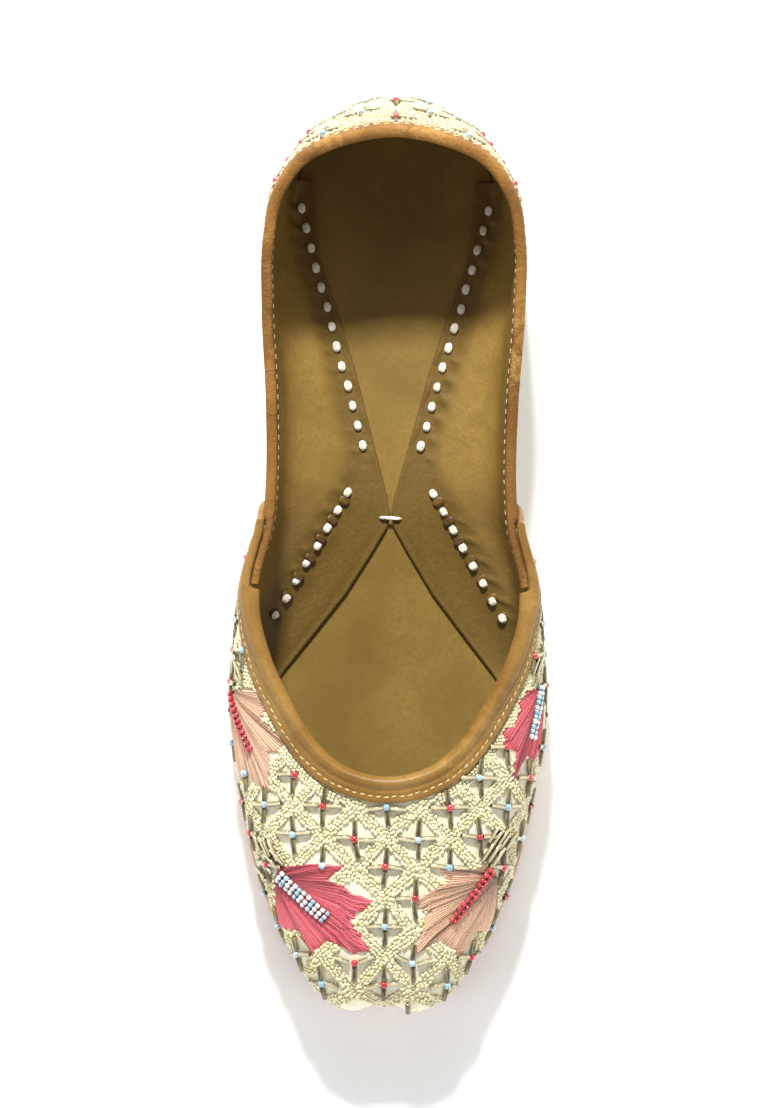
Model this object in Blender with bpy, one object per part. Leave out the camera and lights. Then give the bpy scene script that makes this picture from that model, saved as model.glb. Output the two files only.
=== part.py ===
"""A hand-sewn leather slip-on shoe with a notched toe: sole, heel tap, insole, hollow upper, two edge bindings.

Metres, +Z up, the toe points to -Y, the middle of the shoe is over the origin and the floor is z = 0. The upper is one
hollow wall. Its inner face is worked out from three rails that run from the middle of the toe round to the middle of the
heel: the edge on the sole, the bulge and the rim. A section of the wall is one cubic from the sole edge to the bulge and
one from the bulge to the rim. Both sides are alike. A rail is a short table with one row per section, and a section is
named by its station: 0 is the middle of the toe, 48 is the middle of the heel.
"""
import math

import bmesh
import bpy
import numpy as np

# The shoe's sizes, in metres
SHOE_LENGTH = 0.258
BALL_WIDTH = 0.087
WAIST_WIDTH = 0.069
HEEL_WIDTH = 0.0705
THROAT_HEIGHT = 0.037
SIDE_HEIGHT = 0.038
COLLAR_HEIGHT = 0.0515
SOLE_THICKNESS = 0.004
TAP_THICKNESS = 0.0014
INSOLE_THICKNESS = 0.0015
TOE_SPRING = 0.008
ARCH_RISE = 0.0025

# How far the sole stands in from the upper's widths
BALL_OVERHANG = 0.0016
HEEL_OVERHANG = 0.0047
SOLE_WAIST_WIDTH = 0.0188
SOLE_INSET = 0.0014

# Walls, laps and bindings
VAMP_WALL = 0.0020
QUARTER_WALL = 0.0016
VAMP_LAP = 0.0014
BINDING_THICKNESS = 0.0009
VAMP_BAND = 0.0056
QUARTER_BAND = 0.0044
CLEARANCE = 0.0003
SOLE_CHAMFER = 0.0006

# Half widths that the tables share out
BALL_HALF = BALL_WIDTH / 2
WAIST_HALF = WAIST_WIDTH / 2
HEEL_HALF = HEEL_WIDTH / 2
SOLE_BALL_HALF = BALL_HALF - BALL_OVERHANG
SOLE_WAIST_HALF = SOLE_WAIST_WIDTH / 2
SOLE_HEEL_HALF = HEEL_HALF - HEEL_OVERHANG

# Stations
HEEL_STATION = 48
LAP_EDGE = 29.0
QUARTER_END = 23.5
TURN = 2 * HEEL_STATION

# The sole's outline. Columns: station, along (share of the length), half width, spine (share along, on the middle line)
SOLE_EDGE = (
    (0, 0.0180, 0.000 * SOLE_BALL_HALF, 0.046),
    (1, 0.0160, 0.070 * SOLE_BALL_HALF, 0.050),
    (3, 0.0080, 0.205 * SOLE_BALL_HALF, 0.058),
    (5, 0.0270, 0.440 * SOLE_BALL_HALF, 0.075),
    (7, 0.0690, 0.640 * SOLE_BALL_HALF, 0.102),
    (10, 0.1430, 0.845 * SOLE_BALL_HALF, 0.158),
    (12, 0.1870, 0.925 * SOLE_BALL_HALF, 0.195),
    (14, 0.2310, 0.975 * SOLE_BALL_HALF, 0.235),
    (16, 0.2780, 1.000 * SOLE_BALL_HALF, 0.278),
    (18, 0.3240, 0.955 * SOLE_BALL_HALF, 0.324),
    (21, 0.3900, 0.820 * SOLE_BALL_HALF, 0.390),
    (24, 0.4650, 0.560 * SOLE_BALL_HALF, 0.465),
    (27, 0.5300, 0.350 * SOLE_BALL_HALF, 0.530),
    (29, 0.5660, 1.100 * SOLE_WAIST_HALF, 0.566),
    (32, 0.6120, 1.000 * SOLE_WAIST_HALF, 0.612),
    (35, 0.6860, 0.445 * SOLE_HEEL_HALF, 0.686),
    (39, 0.7900, 0.790 * SOLE_HEEL_HALF, 0.784),
    (41, 0.8400, 0.950 * SOLE_HEEL_HALF, 0.828),
    (42, 0.8700, 0.990 * SOLE_HEEL_HALF, 0.852),
    (43, 0.8980, 0.990 * SOLE_HEEL_HALF, 0.874),
    (44, 0.9240, 0.935 * SOLE_HEEL_HALF, 0.894),
    (46, 0.9700, 0.620 * SOLE_HEEL_HALF, 0.926),
    (48, 0.9920, 0.000 * SOLE_HEEL_HALF, 0.944),
)

# The upper's bulge, on the inner face. Columns: station, along, half width, height, lean (degrees, outward is positive)
BULGE = (
    (0, 0.0210, 0.000 * BALL_HALF, 0.50 * THROAT_HEIGHT, 0),
    (1, 0.0195, 0.070 * BALL_HALF, 0.50 * THROAT_HEIGHT, 0),
    (3, 0.0128, 0.222 * BALL_HALF, 0.49 * THROAT_HEIGHT, 0),
    (5, 0.0330, 0.395 * BALL_HALF, 0.46 * THROAT_HEIGHT, 0),
    (7, 0.0760, 0.560 * BALL_HALF, 0.43 * THROAT_HEIGHT, 0),
    (10, 0.1440, 0.735 * BALL_HALF, 0.39 * THROAT_HEIGHT, 0),
    (14, 0.2350, 0.870 * BALL_HALF, 0.37 * THROAT_HEIGHT, 0),
    (18, 0.3260, 0.950 * BALL_HALF, 0.38 * THROAT_HEIGHT, 0),
    (21, 0.3930, 0.930 * BALL_HALF, 0.41 * THROAT_HEIGHT, 1),
    (24, 0.4640, 0.855 * BALL_HALF, 0.48 * THROAT_HEIGHT, 4),
    (27, 0.5180, 0.775 * BALL_HALF, 0.56 * THROAT_HEIGHT, 8),
    (29, 0.5470, 0.920 * WAIST_HALF, 0.57 * SIDE_HEIGHT, 10),
    (32, 0.6120, 0.890 * WAIST_HALF, 0.58 * SIDE_HEIGHT, 10),
    (35, 0.6860, 0.900 * WAIST_HALF, 0.57 * SIDE_HEIGHT, 9),
    (39, 0.7870, 0.940 * HEEL_HALF, 0.41 * COLLAR_HEIGHT, 6),
    (42, 0.8650, 0.936 * HEEL_HALF, 0.36 * COLLAR_HEIGHT, 2),
    (44, 0.9200, 0.790 * HEEL_HALF, 0.35 * COLLAR_HEIGHT, -2),
    (46, 0.9650, 0.500 * HEEL_HALF, 0.35 * COLLAR_HEIGHT, -6),
    (48, 0.9872, 0.000 * HEEL_HALF, 0.35 * COLLAR_HEIGHT, -8),
)

# The upper's rim, on the inner face. Columns: station, along, half width, height, slope (degrees up from level as the
# wall arrives at the rim, 90 is upright and more flares outward)
RIM = (
    (0, 0.2550, 0.000 * BALL_HALF, 1.000 * THROAT_HEIGHT, 13),
    (3, 0.2575, 0.130 * BALL_HALF, 0.998 * THROAT_HEIGHT, 14),
    (5, 0.2630, 0.235 * BALL_HALF, 0.992 * THROAT_HEIGHT, 15),
    (7, 0.2730, 0.345 * BALL_HALF, 0.984 * THROAT_HEIGHT, 18),
    (10, 0.2980, 0.495 * BALL_HALF, 0.972 * THROAT_HEIGHT, 24),
    (14, 0.3450, 0.665 * BALL_HALF, 0.970 * THROAT_HEIGHT, 36),
    (18, 0.3920, 0.790 * BALL_HALF, 0.985 * THROAT_HEIGHT, 52),
    (21, 0.4310, 0.850 * BALL_HALF, 1.000 * THROAT_HEIGHT, 66),
    (24, 0.4690, 0.850 * BALL_HALF, 1.015 * THROAT_HEIGHT, 80),
    (27, 0.5040, 0.800 * BALL_HALF, 1.020 * THROAT_HEIGHT, 90),
    (29, 0.5260, 0.966 * WAIST_HALF, 1.000 * SIDE_HEIGHT, 94),
    (32, 0.5900, 0.938 * WAIST_HALF, 0.985 * SIDE_HEIGHT, 96),
    (35, 0.6650, 0.950 * WAIST_HALF, 0.990 * SIDE_HEIGHT, 96),
    (39, 0.7650, 0.972 * HEEL_HALF, 0.790 * COLLAR_HEIGHT, 94),
    (42, 0.8380, 0.965 * HEEL_HALF, 0.870 * COLLAR_HEIGHT, 88),
    (44, 0.8860, 0.885 * HEEL_HALF, 0.930 * COLLAR_HEIGHT, 80),
    (46, 0.9280, 0.610 * HEEL_HALF, 0.980 * COLLAR_HEIGHT, 72),
    (48, 0.9490, 0.000 * HEEL_HALF, 1.000 * COLLAR_HEIGHT, 68),
)

# How steeply the wall leaves the sole. Columns: station, slope (degrees up from level)
SOLE_SLOPE = (
    (0, 52),
    (5, 55),
    (10, 60),
    (18, 58),
    (21, 48),
    (24, 38),
    (29, 30),
    (32, 29),
    (35, 33),
    (39, 46),
    (42, 56),
    (48, 60),
)

# The sole's underside, in shares of the length
BALL_FRONT = 0.25
BALL_BACK = 0.36
TAP_FRONT = 0.786
HEEL_FLAT = 0.772

# Rows of the upper's grid: 0 is the sole edge, 1 is the bulge, 2 is the rim
WALL_ROWS = (0, 0.17, 0.32, 0.5, 0.72, 1, 1.1, 1.22, 1.36, 1.5, 1.64, 1.78, 1.9, 2)

MATERIALS = {
    "outsole": ((0.40, 0.012, 0.014), 0.32),
    "heel_tap": ((0.30, 0.025, 0.016), 0.55),
    "insole": ((0.24, 0.15, 0.045), 0.6),
    "upper": ((0.83, 0.78, 0.62), 0.75),
    "vamp_binding": ((0.38, 0.17, 0.05), 0.5),
    "quarter_binding": ((0.38, 0.17, 0.05), 0.5),
}


def clear_scene():
    """Takes the start-up objects out."""
    for thing in list(bpy.data.objects):
        bpy.data.objects.remove(thing, do_unlink=True)


def smooth_rows(rows, at, odd=()):
    """A cubic through a table's rows at the stations `at`. Columns in `odd` change sign past the toe and the heel."""
    table = np.array(rows, float)
    sign = np.ones(table.shape[1])
    sign[list(odd)] = -1
    before = table[1] * sign
    before[0] = -table[1, 0]
    after = table[-2] * sign
    after[0] = TURN - table[-2, 0]
    table = np.vstack((before, table, after))
    place, values = table[:, 0], table[:, 1:]
    step = np.diff(place)[:, None]
    slope = np.diff(values, axis=0) / step
    tangent = (slope[:-1] * step[1:] + slope[1:] * step[:-1]) / (step[:-1] + step[1:])
    at = np.asarray(at, float)
    k = np.clip(np.searchsorted(place, at, side="right") - 1, 1, len(place) - 3)
    h = step[k]
    t = ((at - place[k]) / h[:, 0])[:, None]
    first = (2 * t**3 - 3 * t**2 + 1) * values[k] + (t**3 - 2 * t**2 + t) * h * tangent[k - 1]
    second = (3 * t**2 - 2 * t**3) * values[k + 1] + (t**3 - t**2) * h * tangent[k]
    return first + second


def fold(station):
    """Stations run 0 to 96 round the whole shoe. Returns the matching station of one side, and the sign of x there."""
    turn = np.mod(np.asarray(station, float), TURN)
    left = turn > HEEL_STATION
    return np.where(left, TURN - turn, turn), np.where(left, -1.0, 1.0)


def ease(t):
    """Rises smoothly from 0 to 1."""
    t = np.clip(t, 0, 1)
    return t * t * (3 - 2 * t)


def underside(share):
    """Height of the sole's underside: toe spring, flat ball, arch, then the flat seat of the heel tap."""
    share = np.asarray(share, float)
    toe = TOE_SPRING * (np.clip(BALL_FRONT - share, 0, 1) / BALL_FRONT) ** 2
    q = np.clip((share - BALL_BACK) / (HEEL_FLAT - BALL_BACK), 0, 1)
    return toe + TAP_THICKNESS * ease(q) + ARCH_RISE * np.sin(math.pi * q) ** 2


def along_to_y(share):
    return (np.asarray(share, float) - 0.5) * SHOE_LENGTH


def y_to_along(y):
    return np.asarray(y, float) / SHOE_LENGTH + 0.5


def outward(x, y, x2, y2):
    """Level outward direction of a rail between two points, in the order of its stations."""
    tangent = np.stack((x2 - x, y2 - y), -1)
    tangent = tangent / np.linalg.norm(tangent, axis=-1, keepdims=True)
    return np.stack((tangent[..., 1], -tangent[..., 0], 0 * tangent[..., 0]), -1)


def rail(rows, station):
    """Points of a rail (x, y) and its other columns at any stations round the shoe."""
    one_side, sign = fold(station)
    columns = smooth_rows(rows, one_side, odd=(2,))
    return columns[:, 1] * sign, along_to_y(columns[:, 0]), columns[:, 2:]


def rail_outward(rows, station):
    """Level outward direction of a rail."""
    small = 0.05
    x1, y1, rest = rail(rows, np.asarray(station) - small)
    x2, y2, rest = rail(rows, np.asarray(station) + small)
    return outward(x1, y1, x2, y2)


def wall_thickness(station):
    """The vamp alone in front, vamp over quarter in the lap, the quarter alone behind the vamp's edge."""
    one_side, sign = fold(station)
    lap = ease((one_side - QUARTER_END + 3) / 3)
    front = VAMP_WALL + (QUARTER_WALL + VAMP_LAP - VAMP_WALL) * lap
    return np.where(one_side <= LAP_EDGE + 1e-6, front, QUARTER_WALL)


def foot_rail(station):
    """The wall's inner face where it stands on the sole: in from the sole's outline by the inset and the wall's run."""
    one_side, sign = fold(station)
    x, y, rest = rail(SOLE_EDGE, station)
    out = rail_outward(SOLE_EDGE, station)
    slope = np.radians(smooth_rows(SOLE_SLOPE, one_side)[:, 0])
    smooth_wall = VAMP_WALL + (QUARTER_WALL - VAMP_WALL) * ease((one_side - 20) / 8)
    run = SOLE_INSET + smooth_wall / np.sin(slope)
    point = np.stack((x, y, 0 * x), -1) - out * run[:, None]
    point[:, 2] = underside(y_to_along(point[:, 1])) + SOLE_THICKNESS + CLEARANCE
    return point, out, slope


def hermite(p0, t0, p1, t1, s):
    """Cubic from p0 to p1 with end tangents t0 and t1."""
    s = s[..., None]
    return (
        (2 * s**3 - 3 * s**2 + 1) * p0
        + (s**3 - 2 * s**2 + s) * t0
        + (3 * s**2 - 2 * s**3) * p1
        + (s**3 - s**2) * t1
    )


def inner_wall(station, row):
    """Points of the inner face. Both arguments are arrays of one shape; row runs 0 (sole), 1 (bulge), 2 (rim)."""
    station, row = np.broadcast_arrays(np.asarray(station, float), np.asarray(row, float))
    shape = station.shape
    station, row = station.ravel(), row.ravel()
    up = np.array((0.0, 0.0, 1.0))
    foot, foot_out, foot_slope = foot_rail(station)
    x, y, rest = rail(BULGE, station)
    bulge = np.stack((x, y, rest[:, 0]), -1)
    bulge_out = rail_outward(BULGE, station)
    lean = np.radians(rest[:, 1])[:, None]
    x, y, rest = rail(RIM, station)
    rim = np.stack((x, y, rest[:, 0]), -1)
    rim_out = rail_outward(RIM, station)
    arrive = np.radians(rest[:, 1])[:, None]
    low = np.linalg.norm(bulge - foot, axis=1)[:, None]
    rise = (rim[:, 2] - bulge[:, 2])[:, None]
    reach = np.linalg.norm(rim - bulge, axis=1)[:, None]
    slope = foot_slope[:, None]
    foot_way = 1.15 * low * (np.cos(slope) * foot_out + np.sin(slope) * up)
    bulge_way = np.sin(lean) * bulge_out + np.cos(lean) * up
    rim_way = 1.05 * reach * (np.sin(arrive) * up - np.cos(arrive) * rim_out)
    lower = hermite(foot, foot_way, bulge, 1.1 * low * bulge_way, np.clip(row, 0, 1))
    upper = hermite(bulge, 1.6 * rise * bulge_way, rim, rim_way, np.clip(row - 1, 0, 1))
    return np.where((row < 1)[:, None], lower, upper).reshape(shape + (3,))


def wall_frame(station, row):
    """Point of the inner face, and the offset direction there: square to the wall, but level at the sole's edge."""
    station, row = np.broadcast_arrays(np.asarray(station, float), np.asarray(row, float))
    small, thin = 0.04, 0.004
    point = inner_wall(station, row)
    round_way = inner_wall(station + small, row) - inner_wall(station - small, row)
    low, high = np.clip(row - thin, 0, 2), np.clip(row + thin, 0, 2)
    up_way = inner_wall(station, high) - inner_wall(station, low)
    normal = np.cross(round_way, up_way)
    normal = normal / np.linalg.norm(normal, axis=-1, keepdims=True)
    level = normal * (1, 1, 0)
    level = level / np.linalg.norm(level, axis=-1, keepdims=True)
    level = level / np.sum(level * normal, axis=-1, keepdims=True)
    weight = ease(row / 0.32)[..., None]
    up_way = up_way / np.linalg.norm(up_way, axis=-1, keepdims=True)
    return point, (1 - weight) * level + weight * normal, up_way


def rows_down(station, down):
    """The rows that lie `down` metres below the rim, measured along the wall. One value per station."""
    fine = np.linspace(0, 2, 161)
    found = np.empty(len(station))
    for k, (one, depth) in enumerate(zip(station, down)):
        line = inner_wall(np.full(fine.shape, one), fine)
        length = np.concatenate(((0,), np.cumsum(np.linalg.norm(np.diff(line, axis=0), axis=1))))
        found[k] = np.interp(length[-1] - depth, length, fine)
    return found


def skin(station, down, out):
    """A point `down` metres below the rim along the wall and `out` metres outside its inner face. Above the rim, down is
    negative and the wall is carried straight on."""
    station, down, out = np.broadcast_arrays(station, down, out)
    row = rows_down(station, np.maximum(down, 0))
    point, normal, up_way = wall_frame(station, row)
    return point + normal * out[:, None] + up_way * np.maximum(-down, 0)[:, None]


def add_object(name, points, faces, collection):
    """Puts in a closed mesh of triangles with outward faces and the node's material."""
    mesh = bpy.data.meshes.new(name)
    mesh.from_pydata([tuple(p) for p in points], [], [tuple(f) for f in faces])
    work = bmesh.new()
    work.from_mesh(mesh)
    bmesh.ops.triangulate(work, faces=work.faces[:])
    bmesh.ops.recalc_face_normals(work, faces=work.faces[:])
    work.to_mesh(mesh)
    work.free()
    colour, rough = MATERIALS[name]
    material = bpy.data.materials.new(name)
    material.use_nodes = True
    shader = material.node_tree.nodes["Principled BSDF"]
    shader.inputs["Base Color"].default_value = (*colour, 1)
    shader.inputs["Roughness"].default_value = rough
    shader.inputs["Metallic"].default_value = 0
    mesh.materials.append(material)
    thing = bpy.data.objects.new(name, mesh)
    collection.objects.link(thing)
    return thing


def loft(rings):
    """Quads between closed rings, the last joined to the first as well, so the surface closes on itself."""
    count = len(rings[0])
    faces = []
    for a in range(len(rings)):
        b = (a + 1) % len(rings)
        for k in range(count):
            n = (k + 1) % count
            faces.append((a * count + k, a * count + n, b * count + n, b * count + k))
    return np.vstack(rings), faces


def sweep(sections):
    """Quads between open rows of closed sections, with a cap on each end."""
    count = len(sections[0])
    faces = []
    for a in range(len(sections) - 1):
        for k in range(count):
            n = (k + 1) % count
            faces.append((a * count + k, a * count + n, (a + 1) * count + n, (a + 1) * count + k))
    return np.vstack(sections), faces, count


def build_upper(collection):
    """The hollow wall: outer and inner grids joined at the rim and on the sole."""
    step = 0.05
    side = sorted(list(range(1, HEEL_STATION)) + [LAP_EDGE + step])
    stations = [0.0] + side + [HEEL_STATION] + [TURN - s for s in reversed(side)]
    stations = np.array(stations, float)
    thickness = wall_thickness(stations)
    grid, row = np.meshgrid(stations, WALL_ROWS, indexing="ij")
    point, normal, up_way = wall_frame(grid, row)
    outer = point + normal * thickness[:, None, None]
    outer[:, 0, 2] = underside(y_to_along(outer[:, 0, 1])) + SOLE_THICKNESS + CLEARANCE
    outer_rows = [outer[:, k] for k in range(len(WALL_ROWS))]
    inner_rows = [point[:, k] for k in reversed(range(len(WALL_ROWS)))]
    points, faces = loft(outer_rows + inner_rows)
    return add_object("upper", points, faces, collection)


def plate(name, low, high, low_spine, high_spine, middle_rings, collection):
    """A plate with a table of edge rings: spine, low edge, rings between, high edge, spine. Left and right meet on the
    spine, so each half station owns one spine point."""
    rings = [low] + middle_rings + [high]
    count = len(low)
    half = count // 2
    points = np.vstack(rings + [low_spine, high_spine])
    faces = []
    for a in range(len(rings) - 1):
        for k in range(count):
            n = (k + 1) % count
            faces.append((a * count + k, a * count + n, (a + 1) * count + n, (a + 1) * count + k))
    spine_start = len(rings) * count
    for k in range(count):
        n = (k + 1) % count
        sk = k if k <= half else count - k
        sn = n if n <= half else count - n
        last = (len(rings) - 1) * count
        faces.append((k, n, spine_start + sn, spine_start + sk))
        faces.append((last + k, last + n, spine_start + half + 1 + sn, spine_start + half + 1 + sk))
    return add_object(name, points, faces, collection)


def spine_points(height):
    """Points on the middle line of the sole, one per station of one side."""
    stations = np.arange(HEEL_STATION + 1)
    share = smooth_rows(SOLE_EDGE, stations)[:, 2]
    return np.stack((0 * share, along_to_y(share), height(share)), -1)


def build_outsole(collection):
    """The sole: its outline carried over the underside's heights, with small chamfers at both edges."""
    stations = np.arange(TURN)
    x, y, rest = rail(SOLE_EDGE, stations)
    out = rail_outward(SOLE_EDGE, stations)[:, :2]
    edge = np.stack((x, y), -1)

    def ring(inset, lift):
        plan = edge - out * inset
        height = underside(y_to_along(plan[:, 1])) + lift
        return np.column_stack((plan, height))

    top = SOLE_THICKNESS
    return plate(
        "outsole",
        ring(SOLE_CHAMFER, 0),
        ring(SOLE_CHAMFER, top),
        spine_points(underside),
        spine_points(lambda share: underside(share) + top),
        [ring(0, SOLE_CHAMFER), ring(0, top - SOLE_CHAMFER)],
        collection,
    )


def build_insole(collection):
    """The insole: 0.3 mm off the sole and off the wall, its edge follows the wall's slope."""
    stations = np.arange(TURN, dtype=float)
    foot, out, slope = foot_rail(stations)
    low = foot - out * (CLEARANCE / np.sin(slope))[:, None]
    low[:, 2] = underside(y_to_along(low[:, 1])) + SOLE_THICKNESS + CLEARANCE
    fine = np.linspace(0, 1, 81)
    high = np.empty_like(low)
    for k, one in enumerate(stations):
        line = inner_wall(np.full(fine.shape, one), fine)
        row = np.interp(foot[k, 2] + INSOLE_THICKNESS, line[:, 2], fine)
        point = inner_wall(np.array([one]), np.array([row]))[0]
        high[k] = point - out[k] * 1.3 * CLEARANCE / math.sin(slope[k])
    high[:, 2] = underside(y_to_along(high[:, 1])) + SOLE_THICKNESS + CLEARANCE + INSOLE_THICKNESS
    base = SOLE_THICKNESS + CLEARANCE
    return plate(
        "insole",
        low,
        high,
        spine_points(lambda share: underside(share) + base),
        spine_points(lambda share: underside(share) + base + INSOLE_THICKNESS),
        [],
        collection,
    )


def build_heel_tap(collection):
    """The tap: the sole's own outline behind a straight front edge, flat on the floor."""
    fine = np.linspace(36, 42, 601)
    along = smooth_rows(SOLE_EDGE, fine)[:, 0]
    first = float(np.interp(TAP_FRONT, along, fine))
    side = [first] + [s for s in range(math.ceil(first + 0.2), HEEL_STATION)]
    stations = np.array(side + [HEEL_STATION] + [TURN - s for s in reversed(side)], float)
    x, y, rest = rail(SOLE_EDGE, stations)
    out = rail_outward(SOLE_EDGE, stations)[:, :2]
    plan = np.stack((x, y), -1)
    floor = np.column_stack((plan - out * SOLE_CHAMFER * 1.2, 0 * x))
    bulge = np.column_stack((plan - out * SOLE_CHAMFER * 0.7, 0 * x + TAP_THICKNESS * 0.5))
    top = np.column_stack((plan - out * SOLE_CHAMFER, 0 * x + TAP_THICKNESS))
    front = along_to_y(TAP_FRONT)
    for ring in (floor, bulge, top):
        ring[0, 1] = front
        ring[-1, 1] = front
    count = len(stations)
    points = np.vstack((floor, bulge, top))
    faces = []
    for a in range(2):
        for k in range(count):
            n = (k + 1) % count
            faces.append((a * count + k, a * count + n, (a + 1) * count + n, (a + 1) * count + k))
    for start in (0, 2 * count):
        faces.append(tuple(start + k for k in range(count)))
    return add_object("heel_tap", points, faces, collection)


def band_section(leg_out, inner, outer, leg_in, shift=0.0):
    """Cross-section of a folded strip. First value: how far down from the edge it covers; second: how far out."""
    gap, thick = CLEARANCE, BINDING_THICKNESS
    high = -gap - shift
    half_out = leg_out * 0.5 if leg_out > 0 else leg_out - gap * 0.2
    half_in = leg_in * 0.5 if leg_in > 0 else leg_in - gap * 0.2
    return np.array(
        (
            (leg_out, outer + gap + thick * 0.7),
            (half_out, outer + gap + thick),
            (high - thick * 0.4, outer + gap + thick * 0.9),
            (high - thick, outer + gap * 0.5),
            (high - thick, inner + thick * 0.3),
            (high - thick * 0.4, inner - thick * 0.9),
            (half_in, inner - thick),
            (leg_in, inner - thick * 0.7),
            (leg_in, inner),
            (high, inner),
            (high, outer + gap),
            (half_out, outer + gap),
            (leg_out, outer + gap),
        )
    )


def section_points(station, section):
    """Places a section at a station on the rim: its first value runs down the wall, its second out of the wall."""
    return skin(np.full(len(section), float(station)), section[:, 0], section[:, 1])


def edge_points(station, row, section, drop=0.0):
    """Places a section on the vamp's back edge: its first value runs forward round the wall, and with drop down it."""
    small = 0.25
    stations = np.full(len(section), float(station))
    depth = np.maximum(section[:, 0] * drop, 0)
    rows = rows_down(stations, depth) if drop else np.full(len(section), float(row))
    spacing = inner_wall(stations - small, rows) - inner_wall(stations + small, rows)
    per_station = np.linalg.norm(spacing, axis=1) / (2 * small)
    stations = stations - section[:, 0] / per_station
    if drop:
        return skin(stations, section[:, 0], section[:, 1])
    point, normal, up_way = wall_frame(stations, rows)
    return point + normal * section[:, 1][:, None]


def mirror(points):
    return points * (-1, 1, 1)


def close_sweep(name, right, collection):
    """Joins the right half's sections with their mirror images and caps both ends."""
    left = [mirror(section) for section in reversed(right[1:])]
    points, faces, count = sweep(left + right)
    last = len(points) - count
    faces.append(tuple(range(count)))
    faces.append(tuple(range(last, last + count)))
    return add_object(name, points, faces, collection)


def build_vamp_binding(collection):
    """Over the vamp's edge: round the throat, then back along the lap, then down the vamp's back edge."""
    gap, thick = CLEARANCE, BINDING_THICKNESS
    right = []
    throat = [0.0] + list(range(1, math.floor(QUARTER_END))) + [QUARTER_END - 0.2]
    for station in throat:
        outer = float(wall_thickness([station])[0])
        right.append(section_points(station, band_section(VAMP_BAND, -gap, outer, VAMP_BAND * 0.8)))
    outer = float(wall_thickness([QUARTER_END - 0.13])[0])
    short = band_section(VAMP_BAND, -gap, outer, -gap * 0.4)
    right.append(section_points(QUARTER_END - 0.13, short))
    middle = QUARTER_WALL + gap / 2 + thick
    lap = [QUARTER_END - 0.06] + list(range(math.ceil(QUARTER_END), int(LAP_EDGE)))
    for station in lap:
        outer = float(wall_thickness([station])[0])
        right.append(section_points(station, band_section(VAMP_BAND, middle, outer, -gap * 0.4)))
    outer = float(wall_thickness([LAP_EDGE])[0])
    middle = QUARTER_WALL + gap + thick
    corner = band_section(VAMP_BAND, middle, outer, -gap * 1.5, gap)
    right.append(edge_points(LAP_EDGE, 2, corner, 1))
    for row in (1.64, 1.5, 1.36, 1.22, 1.1, 1, 0.86, 0.72, 0.5, 0.32):
        right.append(edge_points(LAP_EDGE, row, corner))
    return close_sweep("vamp_binding", right, collection)


def build_quarter_binding(collection):
    """Over the quarter's edge, round the heel. In the lap it only covers the inside and the inner part of the edge."""
    gap, thick = CLEARANCE, BINDING_THICKNESS
    right = []
    full = list(range(HEEL_STATION, int(LAP_EDGE), -1)) + [LAP_EDGE + 0.6]
    for station in full:
        right.append(section_points(station, band_section(QUARTER_BAND, -gap, QUARTER_WALL, QUARTER_BAND)))
    short = band_section(-gap * 0.4, -gap, QUARTER_WALL, QUARTER_BAND)
    right.append(section_points(LAP_EDGE + 0.55, short))
    inside = QUARTER_WALL - gap * 1.5 - thick
    lap = [LAP_EDGE + 0.5] + list(range(int(LAP_EDGE), math.floor(QUARTER_END), -1)) + [QUARTER_END + 0.05]
    for station in lap:
        right.append(section_points(station, band_section(-gap * 0.4, -gap, inside, QUARTER_BAND)))
    return close_sweep("quarter_binding", right, collection)


def main():
    clear_scene()
    shoe = bpy.data.collections.new("slip_on_shoe")
    bpy.context.scene.collection.children.link(shoe)
    build_outsole(shoe)
    build_heel_tap(shoe)
    build_insole(shoe)
    build_upper(shoe)
    build_vamp_binding(shoe)
    build_quarter_binding(shoe)


main()
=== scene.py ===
"""The looks of the hand-sewn slip-on shoe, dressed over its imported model.

The toe points to -Y and the floor is z = 0. The upper's wall is worked out from the same three rails as its solid: the
edge on the sole, the bulge and the rim. A place on the wall has a station (0 at the middle of the toe, 48 at the middle
of the heel, 96 back at the toe) and a row (0 on the sole, 1 at the bulge, 2 at the rim).
"""
import math

import bpy
import numpy as np
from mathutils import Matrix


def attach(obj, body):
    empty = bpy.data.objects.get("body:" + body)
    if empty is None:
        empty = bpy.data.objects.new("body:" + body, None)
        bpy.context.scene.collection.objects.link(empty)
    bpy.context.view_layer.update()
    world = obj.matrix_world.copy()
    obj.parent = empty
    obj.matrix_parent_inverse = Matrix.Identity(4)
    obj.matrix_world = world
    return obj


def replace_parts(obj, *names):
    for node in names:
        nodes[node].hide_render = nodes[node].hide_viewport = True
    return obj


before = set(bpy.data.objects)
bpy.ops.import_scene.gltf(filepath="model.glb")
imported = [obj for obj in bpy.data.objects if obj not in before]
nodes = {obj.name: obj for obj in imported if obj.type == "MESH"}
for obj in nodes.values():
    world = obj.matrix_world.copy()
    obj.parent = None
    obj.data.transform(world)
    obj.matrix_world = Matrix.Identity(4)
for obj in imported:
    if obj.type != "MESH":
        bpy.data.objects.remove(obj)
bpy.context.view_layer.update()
chance = np.random.default_rng(38)

# The shoe's sizes, as in its solids
SHOE_LENGTH = 0.258
BALL_HALF = 0.087 / 2
WAIST_HALF = 0.069 / 2
HEEL_HALF = 0.0705 / 2
THROAT_HEIGHT = 0.037
SIDE_HEIGHT = 0.038
COLLAR_HEIGHT = 0.0515
SOLE_THICKNESS = 0.004
TAP_THICKNESS = 0.0014
INSOLE_THICKNESS = 0.0015
TOE_SPRING = 0.008
ARCH_RISE = 0.0025
SOLE_BALL_HALF = BALL_HALF - 0.0016
SOLE_HEEL_HALF = HEEL_HALF - 0.0047
SOLE_WAIST_HALF = 0.0188 / 2
SOLE_INSET = 0.0014
VAMP_WALL = 0.0020
QUARTER_WALL = 0.0016
VAMP_LAP = 0.0014
BINDING_THICKNESS = 0.0009
CLEARANCE = 0.0003
SOLE_CHAMFER = 0.0006
VAMP_BAND = 0.0056
QUARTER_BAND = 0.0044
LAP_EDGE = 29.0
QUARTER_END = 23.5
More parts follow.
